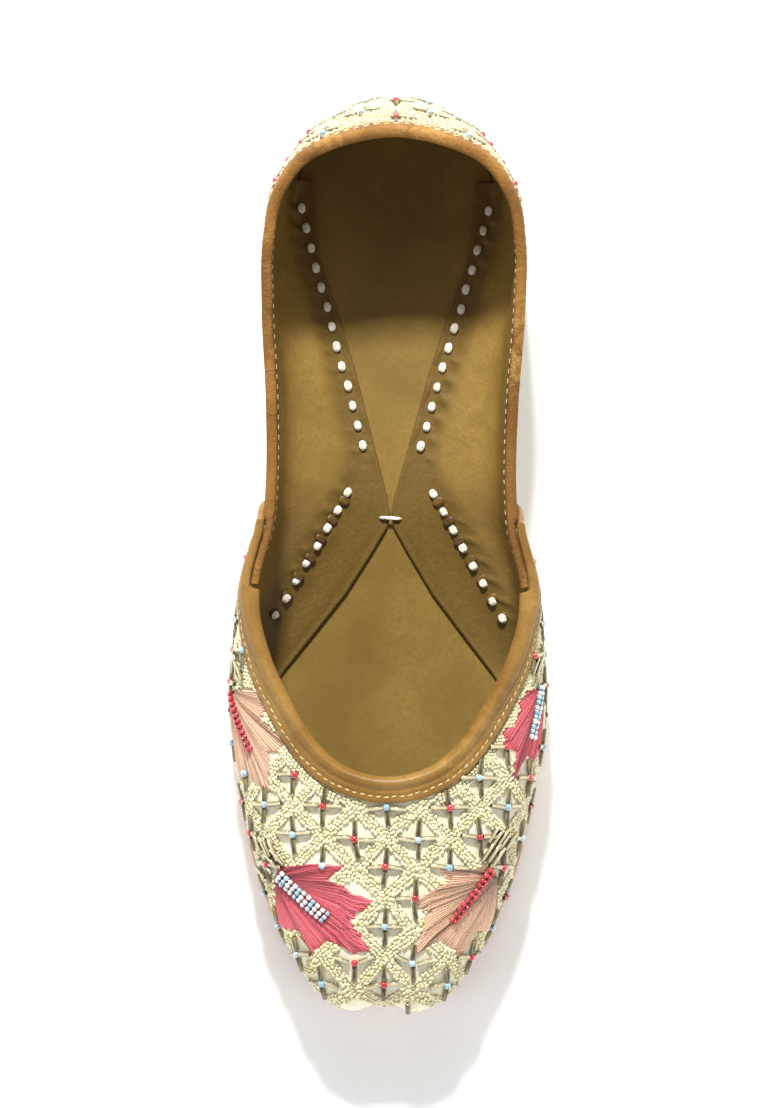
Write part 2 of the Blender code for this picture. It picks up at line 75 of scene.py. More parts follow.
BALL_FRONT, BALL_BACK, TAP_FRONT, HEEL_FLAT = 0.25, 0.36, 0.786, 0.772



def scaled(wide, high, rows):
    """Table rows with their third column times `wide` and their fourth times `high`."""
    return [(row[0], row[1], row[2] * wide, row[3] * high, *row[4:]) for row in rows]


# Columns: station, along (share of the length), half width, spine (share along, on the middle line)
SOLE_EDGE = (
    *scaled(SOLE_BALL_HALF, 1, (
        (0, 0.0180, 0.000, 0.046), (1, 0.0160, 0.070, 0.050), (3, 0.0080, 0.205, 0.058),
        (5, 0.0270, 0.440, 0.075), (7, 0.0690, 0.640, 0.102), (10, 0.1430, 0.845, 0.158),
        (12, 0.1870, 0.925, 0.195), (14, 0.2310, 0.975, 0.235), (16, 0.2780, 1.000, 0.278),
        (18, 0.3240, 0.955, 0.324), (21, 0.3900, 0.820, 0.390), (24, 0.4650, 0.560, 0.465),
        (27, 0.5300, 0.350, 0.530),
    )),
    *scaled(SOLE_WAIST_HALF, 1, (
        (29, 0.5660, 1.100, 0.566), (32, 0.6120, 1.000, 0.612),
    )),
    *scaled(SOLE_HEEL_HALF, 1, (
        (35, 0.6860, 0.445, 0.686), (39, 0.7900, 0.790, 0.784), (41, 0.8400, 0.950, 0.828),
        (42, 0.8700, 0.990, 0.852), (43, 0.8980, 0.990, 0.874), (44, 0.9240, 0.935, 0.894),
        (46, 0.9700, 0.620, 0.926), (48, 0.9920, 0.000, 0.944),
    )),
)
# Columns: station, along, half width, height, lean in degrees
BULGE = (
    *scaled(BALL_HALF, THROAT_HEIGHT, (
        (0, 0.0210, 0.000, 0.50, 0), (1, 0.0195, 0.070, 0.50, 0), (3, 0.0128, 0.222, 0.49, 0),
        (5, 0.0330, 0.395, 0.46, 0), (7, 0.0760, 0.560, 0.43, 0), (10, 0.1440, 0.735, 0.39, 0),
        (14, 0.2350, 0.870, 0.37, 0), (18, 0.3260, 0.950, 0.38, 0), (21, 0.3930, 0.930, 0.41, 1),
        (24, 0.4640, 0.855, 0.48, 4), (27, 0.5180, 0.775, 0.56, 8),
    )),
    *scaled(WAIST_HALF, SIDE_HEIGHT, (
        (29, 0.5470, 0.920, 0.57, 10), (32, 0.6120, 0.890, 0.58, 10), (35, 0.6860, 0.900, 0.57, 9),
    )),
    *scaled(HEEL_HALF, COLLAR_HEIGHT, (
        (39, 0.7870, 0.940, 0.41, 6), (42, 0.8650, 0.936, 0.36, 2), (44, 0.9200, 0.790, 0.35, -2),
        (46, 0.9650, 0.500, 0.35, -6), (48, 0.9872, 0.000, 0.35, -8),
    )),
)
# Columns: station, along, half width, height, slope in degrees as the wall arrives at the rim
RIM = (
    *scaled(BALL_HALF, THROAT_HEIGHT, (
        (0, 0.2550, 0.000, 1.000, 13), (3, 0.2575, 0.130, 0.998, 14), (5, 0.2630, 0.235, 0.992, 15),
        (7, 0.2730, 0.345, 0.984, 18), (10, 0.2980, 0.495, 0.972, 24), (14, 0.3450, 0.665, 0.970, 36),
        (18, 0.3920, 0.790, 0.985, 52), (21, 0.4310, 0.850, 1.000, 66), (24, 0.4690, 0.850, 1.015, 80),
        (27, 0.5040, 0.800, 1.020, 90),
    )),
    *scaled(WAIST_HALF, SIDE_HEIGHT, (
        (29, 0.5260, 0.966, 1.000, 94), (32, 0.5900, 0.938, 0.985, 96), (35, 0.6650, 0.950, 0.990, 96),
    )),
    *scaled(HEEL_HALF, COLLAR_HEIGHT, (
        (39, 0.7650, 0.972, 0.790, 94), (42, 0.8380, 0.965, 0.870, 88), (44, 0.8860, 0.885, 0.930, 80),
        (46, 0.9280, 0.610, 0.980, 72), (48, 0.9490, 0.000, 1.000, 68),
    )),
)
# Columns: station, slope in degrees as the wall leaves the sole
SOLE_SLOPE = (
    (0, 52), (5, 55), (10, 60), (18, 58), (21, 48), (24, 38), (29, 30), (32, 29), (35, 33), (39, 46), (42, 56), (48, 60),
)


def rows_at(rows, at, odd=()):
    """A cubic through a table's rows; past the toe and the heel it is mirrored, with the columns in `odd` negated."""
    table = np.array(rows, float)
    sign = np.ones(table.shape[1])
    sign[list(odd)] = -1
    before, after = table[1] * sign, table[-2] * sign
    before[0], after[0] = -table[1, 0], 96 - table[-2, 0]
    table = np.vstack((before, table, after))
    place, values = table[:, 0], table[:, 1:]
    step = np.diff(place)[:, None]
    slope = np.diff(values, axis=0) / step
    tangent = (slope[:-1] * step[1:] + slope[1:] * step[:-1]) / (step[:-1] + step[1:])
    k = np.clip(np.searchsorted(place, at, side="right") - 1, 1, len(place) - 3)
    h = step[k]
    t = ((at - place[k]) / h[:, 0])[:, None]
    first = (2 * t**3 - 3 * t**2 + 1) * values[k] + (t**3 - 2 * t**2 + t) * h * tangent[k - 1]
    return first + (3 * t**2 - 2 * t**3) * values[k + 1] + (t**3 - t**2) * h * tangent[k]


def run_along(line):
    """Length of a polyline from its start to each of its points."""
    return np.concatenate(((0,), np.cumsum(np.linalg.norm(np.diff(line, axis=0), axis=1))))


def points_at(line, at):
    """Points of a polyline at whole and broken entry numbers."""
    return np.stack([np.interp(at, np.arange(len(line)), column) for column in line.T], -1)


def fold(station):
    """A station round the whole shoe as one side's station and the sign of x there."""
    turn = np.mod(np.asarray(station, float), 96)
    return np.where(turn > 48, 96 - turn, turn), np.where(turn > 48, -1.0, 1.0)


def ease(t):
    """3t^2 - 2t^3, held at 0 and 1 outside."""
    t = np.clip(t, 0, 1)
    return t * t * (3 - 2 * t)


def bump(t, wide):
    """A smooth bell: exp(-(t / wide)^2)."""
    return np.exp(-((t / wide) ** 2))


def unit(v):
    """Vectors over their own length."""
    return v / np.maximum(np.linalg.norm(v, axis=-1, keepdims=True), 1e-12)


def underside(y):
    """Toe spring as a parabola, a flat ball, an arch as a squared sine, then the flat seat of the heel tap."""
    share = y / SHOE_LENGTH + 0.5
    q = np.clip((share - BALL_BACK) / (HEEL_FLAT - BALL_BACK), 0, 1)
    toe = TOE_SPRING * (np.clip(BALL_FRONT - share, 0, 1) / BALL_FRONT) ** 2
    return toe + TAP_THICKNESS * ease(q) + ARCH_RISE * np.sin(math.pi * q) ** 2


def rail(rows, station):
    """x, y and the other columns of a rail."""
    side, sign = fold(station)
    columns = rows_at(rows, side, odd=(2,))
    return columns[:, 1] * sign, (columns[:, 0] - 0.5) * SHOE_LENGTH, columns[:, 2:]


def rail_outward(rows, station):
    """Level outward direction: the rail's tangent turned by a right angle."""
    x1, y1 = rail(rows, station - 0.05)[:2]
    x2, y2 = rail(rows, station + 0.05)[:2]
    return unit(np.stack((y2 - y1, x1 - x2, 0 * x1), -1))


def wall_thickness(station):
    """Vamp alone in front, vamp over quarter in the lap, the quarter alone behind the vamp's edge."""
    side = fold(station)[0]
    front = VAMP_WALL + (QUARTER_WALL + VAMP_LAP - VAMP_WALL) * ease((side - QUARTER_END + 3) / 3)
    return np.where(side <= LAP_EDGE + 1e-6, front, QUARTER_WALL)


def foot_rail(station):
    """The inner face on the sole: in from the sole's outline by the inset and the wall's run."""
    side = fold(station)[0]
    x, y = rail(SOLE_EDGE, station)[:2]
    out = rail_outward(SOLE_EDGE, station)
    slope = np.radians(rows_at(SOLE_SLOPE, side)[:, 0])
    wall = VAMP_WALL + (QUARTER_WALL - VAMP_WALL) * ease((side - 20) / 8)
    point = np.stack((x, y, 0 * x), -1) - out * (SOLE_INSET + wall / np.sin(slope))[:, None]
    point[:, 2] = underside(point[:, 1]) + SOLE_THICKNESS + CLEARANCE
    return point, out, slope[:, None]


def hermite(p0, t0, p1, t1, s):
    """The cubic from p0 to p1 with end tangents t0 and t1."""
    s = s[..., None]
    return (2 * s**3 - 3 * s**2 + 1) * p0 + (s**3 - 2 * s**2 + s) * t0 + (3 * s**2 - 2 * s**3) * p1 + (s**3 - s**2) * t1


def inner_wall(station, row):
    """The wall's inner face: one cubic from the sole edge to the bulge, one from the bulge to the rim."""
    station, row = np.broadcast_arrays(np.asarray(station, float), np.asarray(row, float))
    shape, station, row = station.shape, station.ravel(), row.ravel()
    up = np.array((0.0, 0.0, 1.0))
    foot, foot_out, slope = foot_rail(station)
    x, y, rest = rail(BULGE, station)
    bulge, lean = np.stack((x, y, rest[:, 0]), -1), np.radians(rest[:, 1:2])
    x, y, rest = rail(RIM, station)
    rim, arrive = np.stack((x, y, rest[:, 0]), -1), np.radians(rest[:, 1:2])
    low = np.linalg.norm(bulge - foot, axis=1)[:, None]
    reach = np.linalg.norm(rim - bulge, axis=1)[:, None]
    foot_way = 1.15 * low * (np.cos(slope) * foot_out + np.sin(slope) * up)
    bulge_way = np.sin(lean) * rail_outward(BULGE, station) + np.cos(lean) * up
    rim_way = 1.05 * reach * (np.sin(arrive) * up - np.cos(arrive) * rail_outward(RIM, station))
    lower = hermite(foot, foot_way, bulge, 1.1 * low * bulge_way, np.clip(row, 0, 1))
    upper = hermite(bulge, 1.6 * (rim - bulge)[:, 2:] * bulge_way, rim, rim_way, np.clip(row - 1, 0, 1))
    return np.where((row < 1)[:, None], lower, upper).reshape(shape + (3,))


def wall_frame(station, row):
    """Point of the inner face, offset direction (square to the wall, level at the sole's edge) and the way up the wall."""
    station, row = np.broadcast_arrays(np.asarray(station, float), np.asarray(row, float))
    point = inner_wall(station, row)
    round_way = inner_wall(station + 0.04, row) - inner_wall(station - 0.04, row)
    up_way = unit(inner_wall(station, np.clip(row + 0.004, 0, 2)) - inner_wall(station, np.clip(row - 0.004, 0, 2)))
    normal = unit(np.cross(round_way, up_way))
    level = unit(normal * (1, 1, 0))
    level = level / np.sum(level * normal, axis=-1, keepdims=True)
    weight = ease(row / 0.32)[..., None]
    return point, (1 - weight) * level + weight * normal, up_way


# Depth below the rim along the wall, for every station and row, so that a place can be found by its depth
STATIONS = np.linspace(0, 96, 385)
ROWS = np.concatenate((np.linspace(0, 1, 31), np.linspace(1, 2, 61)[1:]))
WALL = inner_wall(STATIONS[:, None], ROWS[None, :])
DEPTH = np.zeros(WALL.shape[:2])
DEPTH[:, :-1] = np.cumsum(np.linalg.norm(np.diff(WALL, axis=1), axis=2)[:, ::-1], axis=1)[:, ::-1]
DEPTHS = np.linspace(0, 0.075, 301)
ROW_AT_DEPTH = np.array([np.interp(DEPTHS, d[::-1], ROWS[::-1]) for d in DEPTH])
SPACING = np.linalg.norm(WALL[2:] - WALL[:-2], axis=2) / (STATIONS[2] - STATIONS[0])


def look_up(table, first, second):
    """A table's value between its four nearest entries; first and second are places in entries."""
    first = np.clip(first, 0, table.shape[0] - 1.001)
    second = np.clip(second, 0, table.shape[1] - 1.001)
    i, j = first.astype(int), second.astype(int)
    u, v = first - i, second - j
    low = table[i, j] * (1 - v) + table[i, j + 1] * v
    return low * (1 - u) + (table[i + 1, j] * (1 - v) + table[i + 1, j + 1] * v) * u


def row_down(station, down):
    """The row that lies `down` metres below the rim."""
    return look_up(ROW_AT_DEPTH, np.mod(station, 96) * 4, down / DEPTHS[1])


def depth_of(station, row):
    """Depth below the rim of a place on the wall."""
    return look_up(DEPTH, np.mod(station, 96) * 4, np.interp(row, ROWS, np.arange(len(ROWS))))


def ripple(station, row):
    """Soft hollows in the cloth: a few bells at given places, in metres out of the wall."""
    side, sign = fold(station)
    out = 0.0
    for at, level, wide, tall, deep in (
        (33.0, 1.45, 2.2, 0.40, -0.00055),
        (36.5, 1.30, 2.6, 0.50, 0.00035),
        (40.0, 1.55, 2.0, 0.35, -0.00040),
        (31.0, 0.75, 2.0, 0.30, 0.00040),
        (12.0, 1.35, 3.0, 0.30, -0.00030),
        (17.0, 1.20, 2.5, 0.30, 0.00030),
        (23.0, 1.55, 2.2, 0.30, -0.00035),
        (45.5, 1.40, 2.0, 0.40, 0.00030),
    ):
        out = out + deep * bump(side + 0.35 * sign - at, wide) * bump(row - level, tall)
    return out * ease((2 - row) / 0.25) * ease(row / 0.4)


def on_wall(station, row, out):
    """A point `out` metres outside the inner face, with the direction out of the wall."""
    point, normal, up_way = wall_frame(station, row)
    return point + normal * np.asarray(out + ripple(station, row))[..., None], normal


def at_depth(station, down, out):
    """A point `down` metres below the rim and `out` outside the inner face; above the rim the wall is carried on."""
    station, down, out = np.broadcast_arrays(*(np.asarray(v, float) for v in (station, down, out)))
    point, normal, up_way = wall_frame(station, row_down(station, np.maximum(down, 0)))
    return point + normal * out[..., None] + up_way * np.maximum(-down, 0)[..., None]


def spacing_at(station, row):
    """Metres round the wall for one station."""
    return look_up(SPACING, np.mod(station, 96) * 4 - 1, np.interp(row, ROWS, np.arange(len(ROWS))))


# Meshes

def quads(across, along, wrap_across=False, wrap_along=False):
    """Quads of a grid of across x along points, joined round where asked."""
    i = np.arange(across if wrap_across else across - 1)[:, None]
    j = np.arange(along if wrap_along else along - 1)[None, :]
    a, b = i % across, (i + 1) % across
    c, d = j % along, (j + 1) % along
    return np.stack((a * along + c, b * along + c, b * along + d, a * along + d), -1).reshape(-1, 4)


def put(name, points, faces, paints, kinds=None, sharp=None, tone=None, uv=None):
    """One piece from points (n, 3) and faces (m, 3 or 4), in the row frame, with a paint for each kind of face."""
    points = np.ascontiguousarray(points, dtype=np.float32).reshape(-1, 3)
    faces = np.asarray(faces, dtype=np.int32)
    sides = faces.shape[1]
    mesh = bpy.data.meshes.new(name)
    mesh.vertices.add(len(points))
    mesh.vertices.foreach_set("co", points.ravel())
    mesh.loops.add(faces.size)
    mesh.loops.foreach_set("vertex_index", faces.ravel())
    mesh.polygons.add(len(faces))
    mesh.polygons.foreach_set("loop_start", np.arange(0, faces.size, sides, dtype=np.int32))
    mesh.update(calc_edges=True)
    for paint in paints if isinstance(paints, (list, tuple)) else [paints]:
        mesh.materials.append(paint)
    if kinds is not None:
        mesh.polygons.foreach_set("material_index", np.asarray(kinds, dtype=np.int32))
    mesh.polygons.foreach_set("use_smooth", np.ones(len(faces), dtype=bool))
    if sharp:
        mesh.set_sharp_from_angle(angle=math.radians(sharp))
    if tone is not None:
        mesh.attributes.new("tone", "FLOAT", "POINT").data.foreach_set("value", np.asarray(tone, dtype=np.float32))
    if uv is not None:
        layer = mesh.uv_layers.new(name="cloth")
        layer.data.foreach_set("uv", np.asarray(uv, dtype=np.float32)[faces.ravel()].ravel())
    mesh.validate()
    piece = bpy.data.objects.new(name, mesh)
    bpy.context.scene.collection.objects.link(piece)
    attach(piece, "root")
    return piece


def scatter(shape, place, normal, way, size):
    """Copies of a small shape (points, faces): its x goes along `way`, its z out of the surface. size is (n, 3)."""
    points, faces = shape
    side = unit(np.cross(normal, way))
    way = np.cross(side, normal)
    turned = (
        points[None, :, 0:1] * size[:, None, 0:1] * way[:, None]
        + points[None, :, 1:2] * size[:, None, 1:2] * side[:, None]
        + points[None, :, 2:3] * size[:, None, 2:3] * normal[:, None]
    )
    spread = place[:, None] + turned
    shifts = np.arange(len(place))[:, None, None] * len(points)
    return spread.reshape(-1, 3), (faces[None] + shifts).reshape(-1, faces.shape[1])


def turned_shape(lengths, radii, sides):
    """A shape turned round its x axis: at each length a ring of the given radius. Both ends are closed by tiny rings."""
    angle = np.linspace(0, 2 * math.pi, sides, endpoint=False)
    ring = np.stack((0 * angle, np.cos(angle), np.sin(angle)), -1)
    rings = ring[None] * np.asarray(radii)[:, None, None]
    rings[:, :, 0] = np.asarray(lengths)[:, None]
    faces = quads(len(lengths), sides, False, True)[:, ::-1]
    return rings.reshape(-1, 3), faces


SEED = turned_shape((-0.5, -0.42, 0, 0.42, 0.5), (0.05, 0.30, 0.5, 0.30, 0.05), 6)
ROUND = turned_shape((-0.5, -0.38, 0, 0.38, 0.5), (0.12, 0.36, 0.5, 0.36, 0.12), 10)
BUGLE = turned_shape((-0.48, -0.5, -0.485, 0.485, 0.5, 0.48), (0.2, 0.43, 0.5, 0.5, 0.43, 0.2), 12)


def tones(shape, count):
    """A tone for every point of `count` copies: each copy its own, and for a bugle mostly a stripe down its middle. The
    dark bugles paint the stripe as the black thread with a pale painted reflection on either side; the gold ones paint
    it as a painted highlight with painted shade on either side.
    """
    own = np.repeat(chance.random(count), len(shape[0]))
    if shape is not BUGLE:
        return own
    core = np.clip(shape[0][:, 2] * 2.05, 0, 1) ** 5
    return own * 0.15 + np.tile(core, count) * 0.85


def cotton_shape():
    """A short fat stitch: x from -0.5 to 0.5, its back rising as 1 - (2x)^4, and two plies side by side."""
    x = np.linspace(-0.5, 0.5, 9)[:, None]
    angle = np.linspace(0, 2 * math.pi, 14, endpoint=False)[None]
    thick = 0.5 * np.sqrt(np.maximum(1 - (2 * x) ** 6, 0.02))
    ply = 1 + 0.10 * np.cos(2 * angle + 9 * x)
    y = thick * np.cos(angle) * ply
    z = 0.5 * (1 - (2 * x) ** 4) - 0.25 + 0.5 * thick * np.sin(angle) * ply
    return np.stack((x + 0 * y, y, z), -1).reshape(-1, 3), quads(9, 14, False, True)[:, ::-1]


COTTON = cotton_shape()
# The same stitch made boxier, for the sole
BLOCK = (np.sign(COTTON[0]) * np.abs(COTTON[0] * 2) ** 0.72 / 2, COTTON[1])


# The vamp's own pattern grid: slices at constant y, each measured from its crown out and down the side
SLICE_Y = np.linspace(-0.1265, 0.019, 201)
ROUND_STEPS = np.linspace(0, 0.075, 301)


def slice_table():
    """For every slice: station and row at each distance round from the crown, and the distance of its rim."""
    half = np.linspace(0, 31, 249)
    rows = np.concatenate((np.linspace(0.05, 1, 24), np.linspace(1, 2, 90)[1:]))
    outer, normal, up_way = wall_frame(half[:, None], rows[None, :])
    outer = outer + normal * wall_thickness(half)[:, None, None]
    crown_rows = np.interp(SLICE_Y, outer[0, 24:, 1], rows[24:], right=2.0)
    crown_y = np.interp(crown_rows, rows, outer[0, :, 1])
    crown_z = np.interp(crown_rows, rows, outer[0, :, 2])
    drop = np.concatenate(((0,), np.cumsum(np.hypot(np.diff(crown_y), np.diff(crown_z)))))
    straight = np.maximum(SLICE_Y - crown_y[-1], 0)
    back = (drop[-1] - drop) - straight
    station_of, row_of, plan_of = (np.empty((len(SLICE_Y), len(ROUND_STEPS))) for k in range(3))
    for n, y in enumerate(SLICE_Y):
        row = np.append(rows[rows < crown_rows[n] - 1e-4], crown_rows[n])
        ordered = np.maximum.accumulate(outer[:, :, 1], axis=0)
        found = np.array([np.interp(y, ordered[:, k], half) for k in range(len(rows))])
        station = np.interp(row, rows, found)
        if crown_rows[n] < 2:
            station[-1] = 0.0
        point, out, up_way = wall_frame(station, row)
        point = point + out * wall_thickness(station)[:, None]
        step = np.linalg.norm(np.diff(point[::-1], axis=0) * (1, 0, 1), axis=1)
        away = np.concatenate(((0,), np.cumsum(step))) + abs(point[-1, 0]) * 1.04
        station_of[n] = np.interp(ROUND_STEPS, away, station[::-1])
        row_of[n] = np.interp(ROUND_STEPS, away, row[::-1])
        plan_of[n] = np.interp(ROUND_STEPS, away, np.maximum.accumulate(point[::-1, 0]))
    return station_of, row_of, plan_of, back


SLICE_STATION, SLICE_ROW, SLICE_X, SLICE_BACK = slice_table()


def vamp_place(across, along):
    """Station and row of pattern places: metres across from the crown, and metres back from the throat to the toe."""
    slice_at = np.interp(-np.asarray(along, float), -SLICE_BACK, np.arange(len(SLICE_Y)))
    step_at = np.abs(across) / ROUND_STEPS[1]
    station = look_up(SLICE_STATION, slice_at, step_at)
    return np.where(across < 0, 96 - station, station), look_up(SLICE_ROW, slice_at, step_at)


def vamp_point(across, along, lift=0.0):
    """Point on the vamp's cloth, the direction out of it, and the directions across and along the pattern."""
    station, row = vamp_place(across, along)
    point, normal = on_wall(station, row, wall_thickness(station) + lift)
    ends = []
    for shift in ((0.0008, 0), (-0.0008, 0), (0, 0.0008), (0, -0.0008)):
        s, r = vamp_place(across + shift[0], along + shift[1])
        ends.append(on_wall(s, r, wall_thickness(s))[0])
    return point, normal, unit(ends[0] - ends[1]), unit(ends[2] - ends[3])


# Paints

def colour(code):
    """A linear colour from six hex digits."""
    parts = [int(code[k:k + 2], 16) / 255 for k in (0, 2, 4)]
    return tuple(p / 12.92 if p <= 0.04045 else ((p + 0.055) / 1.055) ** 2.4 for p in parts) + (1.0,)


class Value:
    """A socket in a paint. Arithmetic on it adds Math nodes."""

    def __init__(self, paint, socket):
        self.paint, self.socket = paint, socket

    def math(self, operation, *others):
        return self.paint.node("ShaderNodeMath", {"operation": operation}, dict(enumerate((self, *others))))

    def __add__(self, other):
        return self.math("ADD", other)

    def __sub__(self, other):
        return self.math("SUBTRACT", other)

    def __rsub__(self, other):
        return self.paint.node("ShaderNodeMath", {"operation": "SUBTRACT"}, {0: other, 1: self})

    def __mul__(self, other):
        return self.math("MULTIPLY", other)

    __radd__ = __add__
    __rmul__ = __mul__

    def between(self, low, high):
        """0 at low, 1 at high, eased."""
        given = {"Value": self, "From Min": low, "From Max": high}
        return self.paint.node("ShaderNodeMapRange", {"interpolation_type": "SMOOTHSTEP"}, given)


class Paint:
    def __init__(self, name):
        self.material = bpy.data.materials.new(name)
        self.material.use_nodes = True
        self.tree = self.material.node_tree
        self.surface = self.tree.nodes["Principled BSDF"]

    def give(self, socket, value):
        """Links a socket to a Value, or sets it to a constant."""
        if isinstance(value, Value):
            self.tree.links.new(value.socket, socket)
        else:
            socket.default_value = value

    def node(self, kind, settings=None, values=None, out=0):
        made = self.tree.nodes.new(kind)
        for key, value in (settings or {}).items():
            setattr(made, key, value)
        for key, value in (values or {}).items():
            self.give(made.inputs[key], value)
        return Value(self, made.outputs[out])

    def place(self, stretch=(1, 1, 1)):
        """Object coordinates in metres, stretched along each axis."""
        where = self.node("ShaderNodeTexCoord", out="Object")
        return self.node("ShaderNodeVectorMath", {"operation": "MULTIPLY"}, {0: where, 1: stretch})

    def noise(self, scale, detail=3.0, rough=0.5, where=None, twist=0.0):
        given = {"Vector": where or self.place(), "Scale": scale, "Detail": detail, "Roughness": rough, "Distortion": twist}
        return self.node("ShaderNodeTexNoise", {}, given)

    def cells(self, scale):
        """Distance to the nearest of many scattered points."""
        return self.node("ShaderNodeTexVoronoi", {}, {"Vector": self.place(), "Scale": scale})

    def tone(self):
        """The shade from 0 to 1 that the mesh carries at every point."""
        return self.node("ShaderNodeAttribute", {"attribute_name": "tone"}, out="Fac")

    def cloth(self, axis):
        """One axis of the piece's own cloth coordinates, in metres."""
        where = self.node("ShaderNodeUVMap", {"uv_map": "cloth"})
        return self.node("ShaderNodeSeparateXYZ", {}, {0: where}, axis)

    def mix(self, share, first, second):
        """The first colour at share 0, the second at share 1."""
        return self.node("ShaderNodeMix", {"data_type": "RGBA"}, {0: share, 6: first, 7: second}, 2)

    def finish(self, base, rough, height=None, deep=0.0001, **given):
        """Links colour, roughness and a bump `deep` metres high; the rest are constants of the surface."""
        self.give(self.surface.inputs["Base Color"], base)
        self.give(self.surface.inputs["Roughness"], rough)
        if height is not None:
            bumped = self.node("ShaderNodeBump", {}, {"Height": height, "Distance": deep, "Strength": 1.0}, "Normal")
            self.give(self.surface.inputs["Normal"], bumped)
        for key, value in given.items():
            words = {"specular": "Specular IOR Level", "subsurface_scale": "Subsurface Scale"}
            self.give(self.surface.inputs[words.get(key, key.replace("_", " ").title())], value)
        return self.material


def satin(name, light, dark):
    """Close ivory cloth: a fine weave, faint rub marks and soft cloudy tone."""
    p = Paint(name)
    cloud = p.noise(55, 3).between(0.35, 0.68)
    weave = p.noise(1500, 2, where=p.place((1, 0.35, 1)))
    base = p.mix(cloud, colour(dark), colour(light))
    base = p.mix(weave.between(0.45, 0.75) * 0.35, base, colour("CFC6A2"))
    return p.finish(base, 0.5 + weave * 0.2, weave + p.noise(320, 2) * 0.6, 0.00012, sheen_weight=0.15)


def leather(name, light, mid, dark, rough=0.5, grain=900, deep=0.00012, coat=0.0, wear=0.35, shade=None):
    """Leather: cloudy tone, pores from small cells, darker creases and paler rubbed spots; darker toward `shade` where
    the mesh's tone is high.
    """
    p = Paint(name)
    cloud = p.noise(42, 4, 0.55).between(0.3, 0.72)
    pores = p.cells(grain)
    folds = p.noise(170, 3, 0.6, twist=1.2).between(0.42, 0.62)
    base = p.mix(cloud, colour(dark), colour(mid))
    base = p.mix(folds * p.noise(24, 2).between(0.45, 0.7) * wear, base, colour(light))
    if shade:
        base = p.mix(p.tone(), base, colour(shade))
    base = p.mix(pores.between(0.35, 0.9) * 0.4, base, colour(dark))
    height = folds * 0.6 - pores * 0.7 + p.noise(60, 2) * 0.8
    given = {"coat_weight": coat, "coat_roughness": 0.3} if coat else {}
    return p.finish(base, rough + cloud * 0.12, height, deep, specular=0.25, **given)


def beads(name, light, dark, rough=0.2, coat=0.6, subsurface=0.0, metallic=0.0):
    """Glass or pearl: each bead has its own tone, with small flecks."""
    p = Paint(name)
    tone = p.tone()
    fleck = p.noise(2600, 2).between(0.4, 0.7)
    base = p.mix(tone * 0.85 + fleck * 0.15, colour(dark), colour(light))
    return p.finish(
        base, rough + tone * 0.12, p.noise(1800, 1), 0.00004, coat_weight=coat, coat_roughness=0.12,
        subsurface_weight=subsurface, subsurface_scale=0.002, metallic=metallic,
    )


THREAD = 0.00095


def floss(name, light, mid, dark):
    """Satin stitch: fine threads run from the base of a petal to its tips. The first cloth coordinate crosses them. The
    dark lines between the threads are painted shade.
    """
    p = Paint(name)
    across, away = p.cloth(0), p.cloth(1)
    where = p.node("ShaderNodeCombineXYZ", {}, {0: across * 1500, 1: away * 90})
    strand = p.noise(1.0, 2, 0.6, where)
    thread = (across * (2 * math.pi / THREAD) + strand * 3.0).math("COSINE") * 0.5 + 0.5
    base = p.mix(strand.between(0.3, 0.7), colour(mid), colour(light))
    # Painted shade: darker lines in the grooves between the threads.
    base = p.mix((1 - thread).between(0.72, 1.0) * 0.7, base, colour(dark))
    return p.finish(base, 0.5 + strand * 0.15, thread + strand * 0.5, 0.00025, sheen_weight=0.2, specular=0.3)


def cord_paint(name, light, dark, rough=0.75, coat=0.0):
    """Twisted thread: slanting plies with a fine fuzz."""
    p = Paint(name)
    fuzz = p.noise(2400, 3, 0.7)
    ply = p.noise(900, 1, where=p.place((1, 1, 2)))
    base = p.mix(ply.between(0.35, 0.65) * 0.7 + p.tone() * 0.3, colour(dark), colour(light))
    return p.finish(base, rough, fuzz + ply * 1.5, 0.0002, coat_weight=coat, sheen_weight=0.2)


def red_sole(name):
    """Glossy red leather: close pores, faint creases across the shoe, a few pale scuffs and darker stains."""
    p = Paint(name)
    cloud = p.noise(22, 4, 0.6).between(0.3, 0.72)
    pores = p.noise(1300, 3, 0.65)
    wrinkle = p.noise(110, 5, 0.6, p.place((0.55, 1.6, 1)), 0.4)
    scuff = p.noise(240, 4, 0.7, p.place((2.5, 0.6, 1))).between(0.66, 0.76)
    stain = p.noise(60, 3, 0.7).between(0.62, 0.74)
    base = p.mix(cloud, colour("8E060D"), colour("AE0E16"))
    base = p.mix(stain * 0.5, base, colour("6A0509"))
    base = p.mix(scuff * 0.22, base, colour("D04840"))
    height = wrinkle * 1.2 + pores * 0.35 + p.noise(330, 3, 0.6) * 0.35
    return p.finish(base, 0.26 + scuff * 0.25 + cloud * 0.08, height, 0.00022, coat_weight=0.5, coat_roughness=0.2)


def tap_leather(name):
    """Duller red-brown leather: a wrinkled grain across the heel and dark flecks."""
    p = Paint(name)
    grain = p.noise(420, 5, 0.62, p.place((0.7, 1.3, 1)), 0.2)
    pores = p.noise(1100, 3, 0.6)
    fleck = p.noise(520, 3, 0.7).between(0.6, 0.75)
    base = p.mix(grain.between(0.3, 0.7), colour("6F150E"), colour("8D2315"))
    base = p.mix(fleck * 0.4, base, colour("4A0C09"))
    return p.finish(base, 0.42 + grain * 0.15, grain + pores * 0.3, 0.00022, coat_weight=0.2, coat_roughness=0.35)


